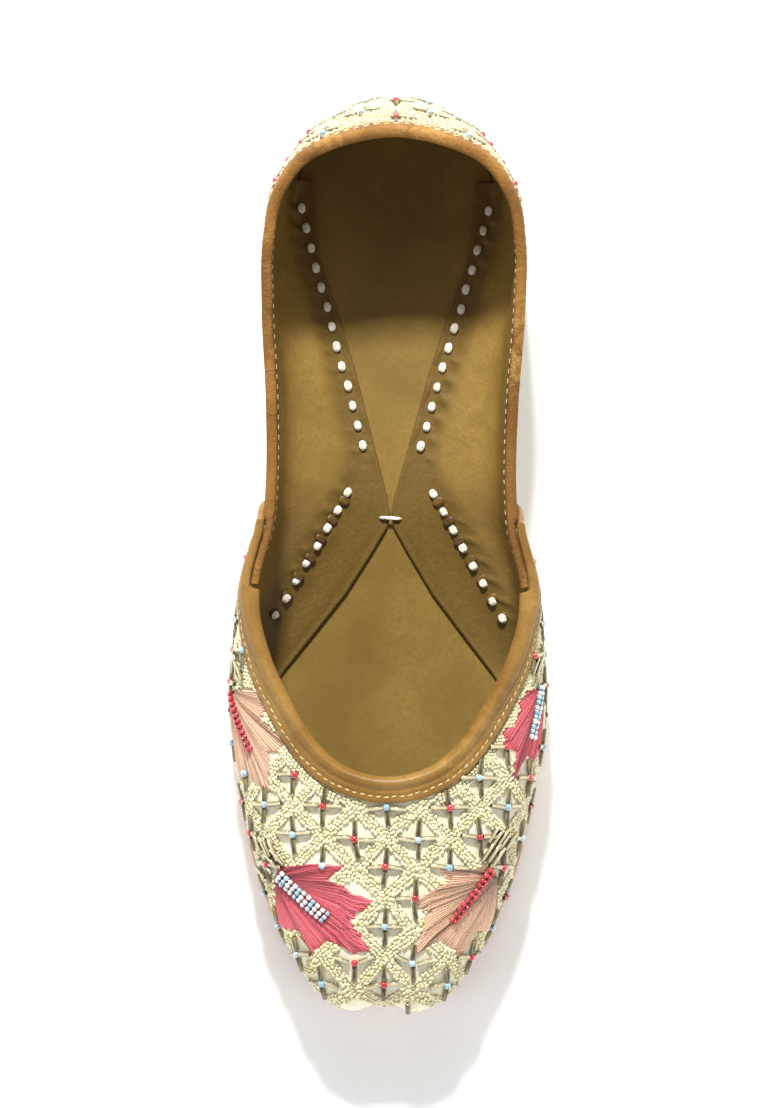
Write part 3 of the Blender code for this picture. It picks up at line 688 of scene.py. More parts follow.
IVORY = satin("ivory_satin", "FFFBE2", "F6F0D0")
QUARTER_CLOTH = satin("ivory_cloth", "F2ECD2", "E2DABA")
LINING = leather("lining_leather", "A68644", "94763A", "7C612C", 0.55, 1100, 0.00003, 0, 0.2)
INSOLE = leather("insole_leather", "A08347", "8F7336", "7B622C", 0.5, 900, 0.00003, 0, 0.2)
FLAP = leather("flap_leather", "A68644", "94763A", "7C612C", 0.5, 1000, 0.00006, 0, 0.3, "604B1C")
CARAMEL = leather("caramel_leather", "BE9751", "A37D3F", "825D2A", 0.42, 1300, 0.00006, 0.12, 0.35)
FUZZY = leather("worn_caramel_leather", "CC9C57", "A17236", "734D1F", 0.7, 1500, 0.0002, 0, 0.6)
EDGE = leather("raw_edge_leather", "F0CDA6", "E0B58D", "C08F66", 0.6, 1500, 0.00015)
PUCKER = leather("dark_pucker_leather", "8F7038", "765829", "4E3716", 0.4, 1300, 0.0001, 0.15)
SOLE_RED = red_sole("red_sole_leather")
TAP = tap_leather("red_tap_leather")
PEARL = beads("cream_pearl", "F9F1C8", "E4DAA8", 0.15, 0.5)
# Painted shade: the counter's pearls are the cream pearls painted darker, because the key light falls more strongly on
# the heel's counter.
SHADED_COUNTER_PEARL = beads("shaded_counter_pearl", "E6DCB2", "C3B88C", 0.2, 0.4)
# Painted reflection: the dark and gold bugles are one glass, painted dark where they lie along the shoe and gold where
# they lie across it; their stripes carry painted highlights and painted shade.
BUGLE_DARK_REFLECTION = beads("dark_reflection_bugle", "030201", "A0936A", 0.15, 0.2)
BUGLE_GOLD_REFLECTION = beads("gold_reflection_bugle", "F2E8BE", "57471A", 0.15, 0.3)
BEAD_RED = beads("red_bead", "DE4250", "B02634", 0.12, 0.9)
BEAD_BLUE = beads("blue_bead", "C6E2EC", "8DB9CA", 0.12, 0.9, 0.1)
BEAD_WHITE = beads("white_bead", "F6F4EE", "D9DCD8", 0.12, 0.9, 0.2)
PINK = floss("pink_floss", "FF8E94", "FF6675", "D83C50")
PEACH = floss("peach_floss", "FFDABC", "FFC8A2", "EDA67E")
ZARI = beads("silver_gilt_thread", "E2DBAE", "AFA66C", 0.34, 0.1, 0.0, 0.5)
# Painted shade: a darker sheet under the chain stitch darkens the gaps between its links.
ZARI_SHADE_SHEET = satin("chain_stitch_painted_shade", "BDB583", "8F8657")
GOLD_STITCH = cord_paint("gold_stitch_thread", "F0DDA2", "C9A761", 0.5, 0.2)
CREAM_STITCH = cord_paint("cream_stitch_thread", "F0E2C2", "CDB48A")
WHITE_STITCH = cord_paint("white_stitch_thread", "FBF6EA", "DED3BC")
COTTON_STITCH = cord_paint("sole_stitch_thread", "F4E3C4", "D0B48C")


# The upper: cloth outside, leather lining inside

def build_upper():
    """A closed wall: outer rows from the sole to the rim with soft hollows, a flat strip across the rim, then the
    lining back down.
    """
    stations = np.sort(np.append(np.arange(0, 96, 0.25), (LAP_EDGE + 0.05, 96 - LAP_EDGE - 0.05)))
    outer_rows = np.concatenate((np.linspace(0, 1, 25), np.linspace(1, 2, 61)[1:]))
    inner_rows = np.concatenate((np.linspace(2, 1, 21), np.linspace(1, 0, 15)[1:]))
    grid, row = np.meshgrid(stations, outer_rows, indexing="ij")
    outer, normal = on_wall(grid, row, wall_thickness(stations)[:, None])
    outer[:, 0, 2] = underside(outer[:, 0, 1]) + SOLE_THICKNESS + CLEARANCE
    grid_in, row_in = np.meshgrid(stations, inner_rows, indexing="ij")
    inner = wall_frame(grid_in, row_in)[0]
    points = np.concatenate((outer, inner), axis=1)
    count = points.shape[1]
    faces = quads(len(stations), count, True, True)[:, ::-1]
    side = np.repeat(fold(stations)[0], count)
    column = np.tile(np.arange(count), len(stations))
    kinds = np.where(column >= len(outer_rows) - 1, 2, np.where(side <= LAP_EDGE + 1e-6, 0, 1))
    band_end = (column < 5) & (side > LAP_EDGE - VAMP_BAND / spacing_at(LAP_EDGE, 0.1)) & (side < LAP_EDGE + 0.06)
    kinds = np.where(band_end, 3, kinds)
    return put("upper_shell", points, faces, [IVORY, QUARTER_CLOTH, LINING, CARAMEL], kinds, 40)


# The bindings

LEGS = np.array((1.0, 0.985, 0.93, 0.82, 0.72, 0.64, 0.57, 0.50, 0.44, 0.38, 0.31, 0.22, 0.11, 0.0))
FLAT_RISE = np.array((0.25, 0.72, 0.97, 1.0, 0.93, 0.82, 0.93, 1.0, 1.0, 1.0, 1.0, 1.0, 1.0, 1.0))
ROLL_RISE = np.array((0.25, 0.72, 0.95, 1.0, 0.94, 0.80, 0.92, 1.0, 0.98, 0.82, 0.92, 1.22, 1.38, 1.36))


def strip(leg_out, inner, outer, leg_in, shift=0.0, rolled=0.0, gap=CLEARANCE, thick=BINDING_THICKNESS):
    """Cross-section of a folded strip. First value: down from the edge; second: out of the wall. Its outer leg has a
    stitched hollow and, where it is rolled, a fat round edge with a groove below it."""
    high = -gap - shift
    rise = FLAT_RISE + (ROLL_RISE - FLAT_RISE) * rolled
    out_leg, in_leg = max(leg_out, 0.0), max(leg_in, 0.0)
    far = np.stack((high + (out_leg - high) * LEGS, outer + gap + thick * rise), -1)
    near = np.stack((high + (in_leg - high) * LEGS[::-1], inner - thick * FLAT_RISE[::-1]), -1)
    middle, half = (far[-1, 1] + near[0, 1]) / 2, (far[-1, 1] - near[0, 1]) / 2
    angle = math.pi * np.linspace(0, 1, 11)
    over = np.stack((high - (thick + 0.0005) * np.sin(angle), middle + half * np.cos(angle)), -1)[1:-1]
    back = np.array(((in_leg, inner), (high, inner), (high, outer + gap), (out_leg, outer + gap)))
    return np.concatenate((far, over, near, back))


def sweep_faces(sections):
    """Quads along a row of equal closed sections, with fans of quads closing both ends."""
    count, size = len(sections), len(sections[0])
    faces = quads(count, size, False, True)
    half = np.arange(1, size // 2)
    first = np.stack((half - 1, half, size - 1 - half, size - half), -1)
    last = first[:, ::-1] + (count - 1) * size
    return np.concatenate((faces, first, last))


QUARTER_GAP, QUARTER_STRIP = 0.00012, 0.00062
EDGE_END = 0.155  # the row where the vamp's back-edge binding stops; below it the upper itself is painted as leather


def lay_strip(stations, sections):
    """Sections (n, m, 2) of depth and offset, laid at stations on the rim."""
    return at_depth(stations[:, None], sections[:, :, 0], sections[:, :, 1])


def build_vamp_binding():
    """Round the throat, back along the lap, then down the vamp's back edge; the left half mirrors the right."""
    gap, thick = CLEARANCE, BINDING_THICKNESS
    throat = np.arange(0, QUARTER_END - 0.05, 0.25)
    lap = np.append(QUARTER_END - 0.06, np.arange(QUARTER_END + 0.25, LAP_EDGE, 0.25))
    sections = [strip(VAMP_BAND, -gap, float(w), VAMP_BAND * 0.8, rolled=1.0) for w in wall_thickness(throat)]
    inner = QUARTER_WALL + gap / 2 + thick
    fade = 1 - 0.75 * ease((lap - QUARTER_END) / 5.0)
    sections += [strip(VAMP_BAND, inner, float(w), 0.0, rolled=f) for w, f in zip(wall_thickness(lap), fade)]
    right = list(lay_strip(np.concatenate((throat, lap)), np.array(sections)))
    outer = float(wall_thickness(LAP_EDGE))
    corner = strip(VAMP_BAND, QUARTER_WALL + gap + thick, outer, 0.0, gap, 0.25)
    down_the_edge = np.concatenate(((2.0,), np.linspace(1.86, 1, 26), np.linspace(0.96, EDGE_END, 24)))
    for row in down_the_edge:
        level = np.full(len(corner), row)
        stations = LAP_EDGE - corner[:, 0] / spacing_at(LAP_EDGE, level)
        if row == 2.0:
            right.append(at_depth(stations, corner[:, 0], corner[:, 1]))
        else:
            point, normal, up_way = wall_frame(stations, level)
            right.append(point + normal * corner[:, 1:])
    left = [section * (-1, 1, 1) for section in reversed(right[1:])]
    everything = np.array(left + right)
    return put("vamp_binding_leather", everything, sweep_faces(everything), CARAMEL, sharp=50)


def build_quarter_binding():
    """Over the quarter's edge round the heel; in the lap only its inside shows."""
    gap, thick = QUARTER_GAP, QUARTER_STRIP
    free = np.arange(48, LAP_EDGE + 0.5, -0.25)
    hidden = np.append(LAP_EDGE + 0.5, np.arange(LAP_EDGE + 0.25, QUARTER_END, -0.25))
    sections = [strip(QUARTER_BAND, -gap, QUARTER_WALL, QUARTER_BAND, gap=gap, thick=thick)] * len(free)
    inside = QUARTER_WALL - gap * 1.5 - thick
    sections += [strip(0.0, -gap, inside, QUARTER_BAND, gap=gap, thick=thick)] * len(hidden)
    right = lay_strip(np.concatenate((free, hidden)), np.array(sections))
    left = right[:0:-1] * (-1, 1, 1)
    everything = np.concatenate((left, right))
    return put("quarter_binding_leather", everything, sweep_faces(everything)[:, ::-1], FUZZY, sharp=50)


# The sole, its tap and the insole

def spine(height, stations):
    """Points on the middle line of the sole, one for each station round."""
    share = rows_at(SOLE_EDGE, fold(stations)[0])[:, 2]
    y = (share - 0.5) * SHOE_LENGTH
    return np.stack((0 * y, y, underside(y) + height), -1)


def sole_ring(inset, lift, stations):
    """The sole's outline moved in by inset, `lift` above the underside."""
    x, y = rail(SOLE_EDGE, stations)[:2]
    plan = np.stack((x, y), -1) - rail_outward(SOLE_EDGE, stations)[:, :2] * inset
    return np.column_stack((plan, underside(plan[:, 1]) + lift))


SOLE_STITCH_IN, SOLE_STITCH_PITCH = 0.0030, 0.0050
UNDER_RINGS = (0.0062, 0.0054, 0.0049, 0.0044, 0.0039, 0.0034, 0.0029, 0.0024, 0.0019, 0.0013)
STITCH_STATIONS = np.arange(0, 96.01, 0.05)
STITCH_RING = sole_ring(SOLE_STITCH_IN, 0, STITCH_STATIONS)
STITCH_RUN = run_along(STITCH_RING)
SOLE_STITCHES = int(STITCH_RUN[-1] / SOLE_STITCH_PITCH)


def dimple(stations, inset):
    """How far the leather is drawn in round each stitch of the sole: a squared sine along the row, a bell across it."""
    turn = np.interp(np.mod(stations, 96), STITCH_STATIONS, STITCH_RUN) / STITCH_RUN[-1] * SOLE_STITCHES
    return (0.00035 + 0.00055 * np.sin(math.pi * turn) ** 2) * bump(inset - SOLE_STITCH_IN, 0.0011)


def toward(ring, middle, share, lift):
    """A ring moved part of the way to the middle line, standing on the underside's height plus lift."""
    plan = ring[:, :2] * (1 - share) + middle[:, :2] * share
    return np.column_stack((plan, underside(plan[:, 1]) + lift))


def put_rings(name, rings, paints, sharp, kinds=None):
    """One piece from closed rings of points, each joined to the next. kinds gives the paint of each band."""
    points = np.array(rings).transpose(1, 0, 2)
    faces = quads(len(points), len(rings), True, False)[:, ::-1]
    kinds = None if kinds is None else np.tile(kinds, len(points))
    return put(name, points, faces, paints, kinds, sharp)


def build_outsole():
    """Rings from the middle line out under the sole, round the rubbed edge and back over its top. The underside is drawn
    in round each stitch and swells a little between them."""
    stations = np.arange(0, 96, 0.1)
    top, chamfer = SOLE_THICKNESS, SOLE_CHAMFER
    low, high = sole_ring(UNDER_RINGS[0], 0, stations), sole_ring(chamfer, top, stations)
    middle = spine(0, stations)
    rings = [toward(low, middle, share, 0) for share in np.linspace(1, 0, 11)]
    for inset in (*UNDER_RINGS[1:], 0.0009):
        ring = sole_ring(inset, 0, stations)
        ring[:, 2] += dimple(stations, inset)
        rings.append(ring)
    red = len(rings)
    edge = ((0.0005, 0.00025), (0.0002, 0.0007), (0.0, 0.0014), (0.0, 0.0026), (0.0002, 0.0034), (chamfer, top))
    rings += [sole_ring(inset, lift, stations) for inset, lift in edge]
    rings += [toward(high, middle, share, top) for share in (0.3, 0.7, 1.0)]
    kinds = np.arange(1, len(rings)) >= red
    return put_rings("sole_leather", rings, [SOLE_RED, EDGE], 60, kinds)


def build_heel_tap():
    """The tap follows the sole's outline behind a straight front edge and is flat on the floor, drawn in at its
    stitches."""
    fine = np.linspace(36, 42, 601)
    first = float(np.interp(TAP_FRONT, rows_at(SOLE_EDGE, fine)[:, 0], fine))
    stations = np.concatenate((np.linspace(first, 48, 181), np.linspace(48, 96 - first, 181)[1:]))
    x, y = rail(SOLE_EDGE, stations)[:2]
    out = rail_outward(SOLE_EDGE, stations)[:, :2]
    front = (TAP_FRONT - 0.5) * SHOE_LENGTH
    insets = [(inset, dimple(stations, inset)) for inset in UNDER_RINGS]
    insets += [(0.0008, 0.0), (0.0005, 0.00025), (0.0004, 0.0007), (0.0006, TAP_THICKNESS)]
    rings = []
    for inset, lift in insets:
        plan = np.stack((x, y), -1) - out * inset
        plan[:, 1] = np.maximum(plan[:, 1], front)
        rings.append(np.column_stack((plan, 0 * x + lift)))
    for ring, height in ((rings[0], 0.0), (rings[-1], TAP_THICKNESS)):
        inner = []
        for share in (1.0, 0.66, 0.33):
            plan = ring[:, :2] * (1 - share)
            plan[:, 1] += np.clip(y, front, 0.108) * share
            inner.append(np.column_stack((plan, 0 * x + height)))
        rings = inner + rings if height == 0.0 else rings + inner[::-1]
    rings = np.array(rings)
    rings[:, 0, 1] = rings[:, -1, 1] = front
    return put_rings("heel_tap_leather", rings, TAP, 40)


def build_insole():
    """The insole: its edge follows the wall, its top has soft hollows under the heel and the ball."""
    stations = np.arange(0, 96, 0.25)
    foot, out, slope = foot_rail(stations)
    low = foot - out * (CLEARANCE / np.sin(slope))
    base = SOLE_THICKNESS + CLEARANCE
    low[:, 2] = underside(low[:, 1]) + base
    line = inner_wall(stations[:, None], np.linspace(0, 1, 81)[None, :])
    share = np.array([np.interp(z + INSOLE_THICKNESS, l[:, 2], np.linspace(0, 1, 81)) for z, l in zip(foot[:, 2], line)])
    high = inner_wall(stations, share) - out * 1.3 * CLEARANCE / np.sin(slope)
    middle = spine(0, stations)
    rings = [toward(low, middle, 1.0, base), toward(low, middle, 0.5, base), low]
    for step in (0.0, 0.01, 0.03, 0.08, 0.16, 0.26, 0.38, 0.52, 0.68, 0.84, 1.0):
        ring = toward(high, middle, step, base + INSOLE_THICKNESS)
        heel = bump(ring[:, 1] - 0.078, 0.022) * bump(ring[:, 0], 0.016)
        ball = bump(ring[:, 1] + 0.045, 0.025) * bump(ring[:, 0], 0.024)
        ring[:, 2] -= (0.0006 * heel + 0.0005 * ball) * ease(step / 0.2)
        rings.append(ring)
    return put_rings("insole_leather", rings, INSOLE, 50)


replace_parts(build_upper(), "upper")
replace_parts(build_vamp_binding(), "vamp_binding")
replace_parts(build_quarter_binding(), "quarter_binding")
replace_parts(build_outsole(), "outsole")
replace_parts(build_heel_tap(), "heel_tap")
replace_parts(build_insole(), "insole")

# Beads and threads

ACROSS_UNIT, ALONG_UNIT = 0.00875, 0.00855
ALONG_START = float(np.interp(-0.070, SLICE_Y, SLICE_BACK))


def plan(spots):
    """Pattern places of spots seen from above, given as (millimetres right of the middle, millimetres from the toe)."""
    spots = np.asarray(spots, float) / 1000
    y = spots[:, 1] - SHOE_LENGTH / 2
    slice_at = np.interp(y, SLICE_Y, np.arange(len(SLICE_Y)))
    rows = look_up(SLICE_X, slice_at[:, None], np.arange(len(ROUND_STEPS))[None, :])
    wide = np.minimum(np.abs(spots[:, 0]), rows.max(axis=1) * 0.985)
    away = np.array([np.interp(x, row, ROUND_STEPS) for x, row in zip(wide, rows)])
    return np.stack((np.sign(spots[:, 0]) * away, np.interp(y, SLICE_Y, SLICE_BACK)), -1)


def inside(spots, outline):
    """True where a spot lies inside a closed outline, by counting the sides that a level line crosses."""
    x, y = spots[:, 0:1], spots[:, 1:2]
    x1, y1 = outline[:, 0][None], outline[:, 1][None]
    x2, y2 = np.roll(x1, -1, axis=1), np.roll(y1, -1, axis=1)
    crosses = (y1 > y) != (y2 > y)
    at = x1 + (y - y1) * (x2 - x1) / np.where(np.abs(y2 - y1) < 1e-12, 1e-12, y2 - y1)
    return (crosses & (x < at)).sum(axis=1) % 2 == 1


def open_cloth(spots, band=0.0007, sole=0.0042, toe=0.0024):
    """True where a pattern place is on the vamp, clear of the binding and of the plain strip along the sole, which is
    narrower round the toe."""
    station, row = vamp_place(spots[:, 0], spots[:, 1])
    side = fold(station)[0]
    down = depth_of(station, row)
    foot = depth_of(station, 0 * row) - down
    back = (LAP_EDGE - side) * spacing_at(station, row)
    near = (spots[:, 1] > SLICE_BACK[-1] + 0.0005) & (spots[:, 1] < SLICE_BACK[0] - 0.0002)
    strip_here = sole - toe * (1 - ease((side - 4) / 4))
    return near & (down > VAMP_BAND + band) & (foot > strip_here) & (back > VAMP_BAND + band)


def mirrored(spots, start, end):
    """Spots reflected in the line from start to end."""
    way = unit(np.subtract(end, start))
    away = spots - start
    return start + 2 * way * (away @ way)[:, None] - away


# Each flower: its base, its jagged outline and the two ends of its stamen, as seen from above in millimetres
FLOWERS = {
    "toe_left": (
        (-30.8, 38.5),
        ((-29.8, 41.4), (-20, 42.6), (-11.2, 42.2), (-15.8, 38.4), (-3.6, 32.8), (-9.6, 28.3), (-4.2, 18.6), (-15.8, 20.9),
         (-19.7, 17.2), (-23.7, 23.8), (-29.0, 23.9), (-30.2, 33.0)),
        ((-28.8, 38.8), (-16.6, 28.0)), (11, 3),
    ),
    "toe_right": (
        (31.0, 39.5),
        ((30.4, 41.6), (14.8, 41.9), (17.0, 37.9), (8.0, 33.1), (11.9, 29.8), (8.3, 19.0), (14.3, 21.7), (21.7, 17.5),
         (23.9, 24.1), (28.8, 23.8), (31.2, 33.1)),
        ((28.8, 41.2), (18.8, 27.4)), (11, 2),
    ),
    "side_left": (
        (-44.0, 90.5),
        ((-38.0, 91.8), (-33.4, 86.2), (-34.8, 82.6), (-27.8, 75.4), (-32.4, 72.6), (-32.6, 61.6)),
        ((-43.2, 89.6), (-37.8, 74.3)), (11, 2),
    ),
    "side_right": (
        (41.8, 93.0),
        ((38.6, 91.6), (36.2, 88.4), (37.6, 83.2), (31.8, 80.0), (32.9, 75.7), (35.9, 74.8), (34.9, 65.5)),
        ((41.6, 92.3), (39.6, 78.9)), (11, 2),
    ),
}


def flower_places(name):
    """A flower's base, outline and stamen on the pattern. A side flower's hidden half mirrors the half in view."""
    base, outline, stamen, count = FLOWERS[name]
    base, outline, stamen = plan([base])[0], plan(outline), plan(stamen)
    if name.startswith("side"):
        tip = outline[-1]
        outline = np.concatenate((outline, mirrored(outline[-2::-1], base, base + (tip - base) * (0.94, 1.0))))
    return base, outline, stamen


PLACED = {name: flower_places(name) for name in FLOWERS}


def free_of_flowers(spots, share=1.0):
    """True where no flower, drawn in to a share of its size, covers a pattern place."""
    covered = np.zeros(len(spots), dtype=bool)
    for base, outline, stamen in PLACED.values():
        covered |= inside(spots, np.vstack((base, base + (outline - base) * share)))
    return ~covered


def sew(name, shape, spots, ways, sizes, lift, paint):
    """One piece of many beads on the vamp. ways are (across, along) directions; each bead gets a tone of its own."""
    point, normal, across, along = vamp_point(spots[:, 0], spots[:, 1], lift)
    way = unit(across * ways[:, :1] + along * ways[:, 1:])
    points, faces = scatter(shape, point, normal, way, sizes)
    return put(name, points, faces, paint, tone=tones(shape, len(spots)), sharp=60)


def turned_ways(angle):
    return np.stack((np.cos(angle), np.sin(angle)), -1)


def build_lattice():
    """Bands of four rows of pearls along both diagonals of the pattern; where two bands meet, one runs through."""
    length = math.hypot(ACROSS_UNIT, ALONG_UNIT)
    apart = ACROSS_UNIT * ALONG_UNIT / length
    spots, ways = [], []
    for family in (1, -1):
        k = np.arange(-25, 27, 2)[:, None, None]
        t = (np.arange(-135, 135) * 0.00112 / length)[None, :, None]
        side = (np.arange(4) - 1.5)[None, None, :] * 0.00098
        t = t + np.array((0, 0.5, 0, 0.5))[None, None, :] * 0.00112 / length
        i = k / 2 + t
        j = family * (k / 2 - t)
        across = i * ACROSS_UNIT + side * ALONG_UNIT / length
        along = j * ALONG_UNIT + side * family * ACROSS_UNIT / length
        made = np.stack((across, along), -1).reshape(-1, 2)
        if family < 0:
            other = made[:, 0] / ACROSS_UNIT + made[:, 1] / ALONG_UNIT
            off = np.abs(np.mod(other, 2) - 1) * apart
            made = made[off > 0.00200]
        spots.append(made + (0, ALONG_START))
        ways.append(np.tile((ACROSS_UNIT / length, -family * ALONG_UNIT / length), (len(made), 1)))
    spots, ways = np.concatenate(spots), np.concatenate(ways)
    spots += chance.normal(0, 0.00015, spots.shape)
    keep = (np.abs(spots[:, 0]) < 0.07) & open_cloth(spots) & free_of_flowers(spots)
    spots, ways = spots[keep], ways[keep]
    ways = ways + chance.normal(0, 0.3, ways.shape)
    size = 0.00114 * (1 + chance.normal(0, 0.09, (len(spots), 1))) * np.array(((0.95, 1.0, 0.78),))
    half = len(spots) // 2
    lift = 0.00020 + chance.random(len(spots)) * 0.00016
    sew("pearls_front", SEED, spots[:half], ways[:half], size[:half], lift[:half], PEARL)
    sew("pearls_back", SEED, spots[half:], ways[half:], size[half:], lift[half:], PEARL)


def build_throat_pearls():
    """Three rows of pearls beside the throat's band along both sides, stopping at the flowers."""
    for sign, word in ((1, "right"), (-1, "left")):
        stations = np.arange(5.5, LAP_EDGE - 2.5, 0.05)
        spots, ways, outs = [], [], []
        for row in range(3):
            down = VAMP_BAND + 0.0011 + row * 0.00098
            wall = wall_thickness(stations)
            line = at_depth(stations, down, wall + 0.0003)
            at = evenly(line, 0.00112)
            numbers = np.arange(len(line))
            spots.append(np.stack([np.interp(at, numbers, line[:, c]) for c in range(3)], -1))
            out = unit(at_depth(stations, down, wall + 0.001) - at_depth(stations, down, wall))
            outs.append(np.stack([np.interp(at, numbers, out[:, c]) for c in range(3)], -1))
            ways.append(unit(chance.normal(0, 1, (len(at), 3))))
        spots, ways, outs = (np.concatenate(a) * (sign, 1, 1) for a in (spots, ways, outs))
        free = np.ones(len(spots), dtype=bool)
        for base, outline, stamen in PLACED.values():
            edge = np.vstack((base, outline))
            free &= ~inside(spots[:, :2], vamp_point(edge[:, 0], edge[:, 1])[0][:, :2])
        spots, ways, outs = spots[free], ways[free], outs[free]
        size = 0.00114 * (1 + chance.normal(0, 0.09, (len(spots), 1))) * np.array(((0.95, 1.0, 0.78),))
        points, faces = scatter(SEED, spots, unit(outs), ways, size)
        put("throat_pearls_" + word, points, faces, PEARL, tone=tones(SEED, len(spots)), sharp=60)


def build_crosses():
    """At each open diamond four bugles of one glass round one seed bead, painted dark along the shoe and gold across it
    as a painted reflection.
    """
    i, j = np.meshgrid(np.arange(-8, 9), np.arange(-14, 10), indexing="ij")
    even = (i + j) % 2 == 0
    i, j = i[even], j[even]
    centre = np.stack((i * ACROSS_UNIT, ALONG_START + j * ALONG_UNIT), -1)
    centre = centre + chance.normal(0, 0.00018, centre.shape)
    keep = open_cloth(centre, 0.0002, 0.0062) & free_of_flowers(centre, 0.9)
    centre, i, j = centre[keep], i[keep], j[keep]
    blue = (np.floor(i / 2) + np.floor(j / 2)) % 2 == 0
    for name, paint, some in (("red_seeds", BEAD_RED, ~blue), ("blue_seeds", BEAD_BLUE, blue)):
        spots = centre[some]
        size = np.tile((0.0019, 0.0022, 0.0021), (len(spots), 1)) * (1 + chance.normal(0, 0.04, (len(spots), 1)))
        sew(name, ROUND, spots, turned_ways(chance.random(len(spots)) * 6), size, 0.0009, paint)
    # Painted reflection: the same glass is painted dark along the shoe and gold across it.
    for name, paint, angles in (
        ("dark_bugles", BUGLE_DARK_REFLECTION, (math.pi / 2, -math.pi / 2)),
        ("gold_bugles", BUGLE_GOLD_REFLECTION, (0.0, math.pi)),
    ):
        angle = np.tile(angles, len(centre)) + chance.normal(0, 0.09, 2 * len(centre))
        away = 0.0031 + chance.normal(0, 0.0001, len(angle))
        spots = np.repeat(centre, 2, axis=0) + turned_ways(angle) * away[:, None]
        ends = spots + turned_ways(angle) * 0.0015
        keep = open_cloth(ends, 0.0, 0.0045, 0.0) & free_of_flowers(spots)
        spots, angle = spots[keep], angle[keep] + chance.normal(0, 0.06, keep.sum())
        size = np.tile((0.0044, 0.00145, 0.00120), (len(spots), 1)) * (1 + chance.normal(0, 0.03, (len(spots), 1)))
        sew(name, BUGLE, spots, turned_ways(angle), size, 0.00072, paint)


def build_flower(name, paint):
    """Rays from the base to the jagged outline. The lift rises from the edge, sinks toward each notch and carries the
    ridges of single bundles of thread."""
    base, outline, stamen = PLACED[name]
    steps = 44
    t = (np.arange((len(outline) - 1) * steps + 1)) / steps
    k = np.minimum(t.astype(int), len(outline) - 2)
    edge = outline[k] + (outline[k + 1] - outline[k]) * (t - k)[:, None]
    away = np.linalg.norm(edge - base, axis=1)
    frayed = np.interp(t * 9, np.arange(len(outline) * 9), chance.uniform(-0.03, 0.035, len(outline) * 9))
    edge = base + (edge - base) * (1 + frayed[:, None])
    size = np.linalg.norm(outline - base, axis=1)
    petal = np.interp(t, np.arange(len(outline)), (size > np.median(size)) * 1.0)
    length = np.concatenate(((0,), np.cumsum(np.linalg.norm(np.diff(edge, axis=0), axis=1))))
    v = np.concatenate(((0.03, 0.07), np.linspace(0.14, 0.94, 13), (0.985, 1.0)))[None, :]
    spots = base + (edge - base)[:, None] * v[..., None]
    ends = ease(np.minimum(t, t[-1] - t) / 0.35)[:, None]
    ridge = 0.5 + 0.5 * np.cos(2 * math.pi * length / THREAD)
    lift = 0.00035 + 0.00055 * petal[:, None] * np.sin(math.pi * np.clip(v, 0, 1)) ** 0.6 + 0.0002 * np.exp(-v / 0.2)
    lift = (lift + 0.00022 * ridge[:, None] * v) * ease((1.002 - v) / 0.05) * ends
    flat = spots.reshape(-1, 2)
    station, row = vamp_place(flat[:, 0], flat[:, 1])
    point, normal = on_wall(station, row, wall_thickness(station) + lift.ravel())
    uv = np.stack((np.repeat(length, v.size), (away[:, None] * v).ravel()), -1)
    faces = quads(len(t), v.size)
    corner = point[faces[:, [0, 1, 3]]]
    facing = np.cross(corner[:, 1] - corner[:, 0], corner[:, 2] - corner[:, 0])
    if (facing * normal[faces[:, 0]]).sum() < 0:
        faces = faces[:, ::-1]
    return put("flower_" + name, point, faces, paint, uv=uv)


def build_stamen(name, paints):
    """Short rows of beads laid across the flower's middle, on a small ridge."""
    base, outline, stamen = PLACED[name]
    rows, columns = FLOWERS[name][3]
    way = unit(stamen[1] - stamen[0])
    side = np.array((-way[1], way[0]))
    k, c = np.meshgrid(np.arange(rows), np.arange(columns) - (columns - 1) / 2, indexing="ij")
    share = k.ravel() / (rows - 1)
    spots = stamen[0] + (stamen[1] - stamen[0]) * share[:, None] + side * (c.ravel() * 0.00128)[:, None]
    spots = spots + chance.normal(0, 0.00008, spots.shape)
    lift = 0.00135 - 0.0002 * np.abs(c.ravel()) + 0 * share
    for n, paint in enumerate(paints):
        some = (k.ravel() * 7 + np.round(c.ravel() * 2) * 5 + k.ravel() // 3) % len(paints) == n
        size = np.tile((0.00128, 0.00158, 0.00155), (some.sum(), 1)) * (1 + chance.normal(0, 0.05, (some.sum(), 1)))
        ways = np.tile(side, (some.sum(), 1))
        sew("stamen_" + name + "_" + str(n + 1), ROUND, spots[some], ways, size, lift[some], paint)


# Groups of straight bugles at the flowers: middle, then half the group's width, way of each bugle, count
SPRAYS = (
    ((-32.9, 46.9), (2.2, -1.2), (2.6, -5.6), 4),
    ((-31.6, 42.0), (2.0, 2.0), (2.4, -2.6), 4),
    ((31.6, 50.4), (2.3, -0.9), (-3.4, -5.2), 5),
    ((29.4, 46.0), (1.4, -0.5), (-2.2, -3.4), 3),
    ((-42.8, 97.4), (2.2, -1.4), (2.6, -6.6), 4),
    ((41.6, 99.5), (-1.8, -1.6), (-2.0, -6.0), 4),
)


def build_sprays():
    spots, ways = [], []
    for middle, half, way, count in SPRAYS:
        shift = np.linspace(-1, 1, count)[:, None] + chance.normal(0, 0.06, (count, 1))
        slide = chance.uniform(-0.16, 0.16, (count, 1))
        middles = np.array(middle) + np.array(half) * shift + np.array(way) * slide
        ends = [plan(middles + np.array(way) * s) for s in (-0.5, 0.5)]
        spots.append((ends[0] + ends[1]) / 2)
        ways.append(unit(ends[1] - ends[0]))
    spots, ways = np.concatenate(spots), np.concatenate(ways)
    keep = open_cloth(spots, 0, 0.002)
    spots, ways = spots[keep], ways[keep]
    size = np.tile((0.0058, 0.0011, 0.0011), (len(spots), 1)) * (1 + chance.normal(0, 0.05, (len(spots), 1)))
    # The sprays take the gold-painted copy of the bugle glass, whose gold and stripe are painted reflection.
    sew("gold_sprays", BUGLE, spots, ways, size, 0.0011, BUGLE_GOLD_REFLECTION)


# Stitches that follow a line

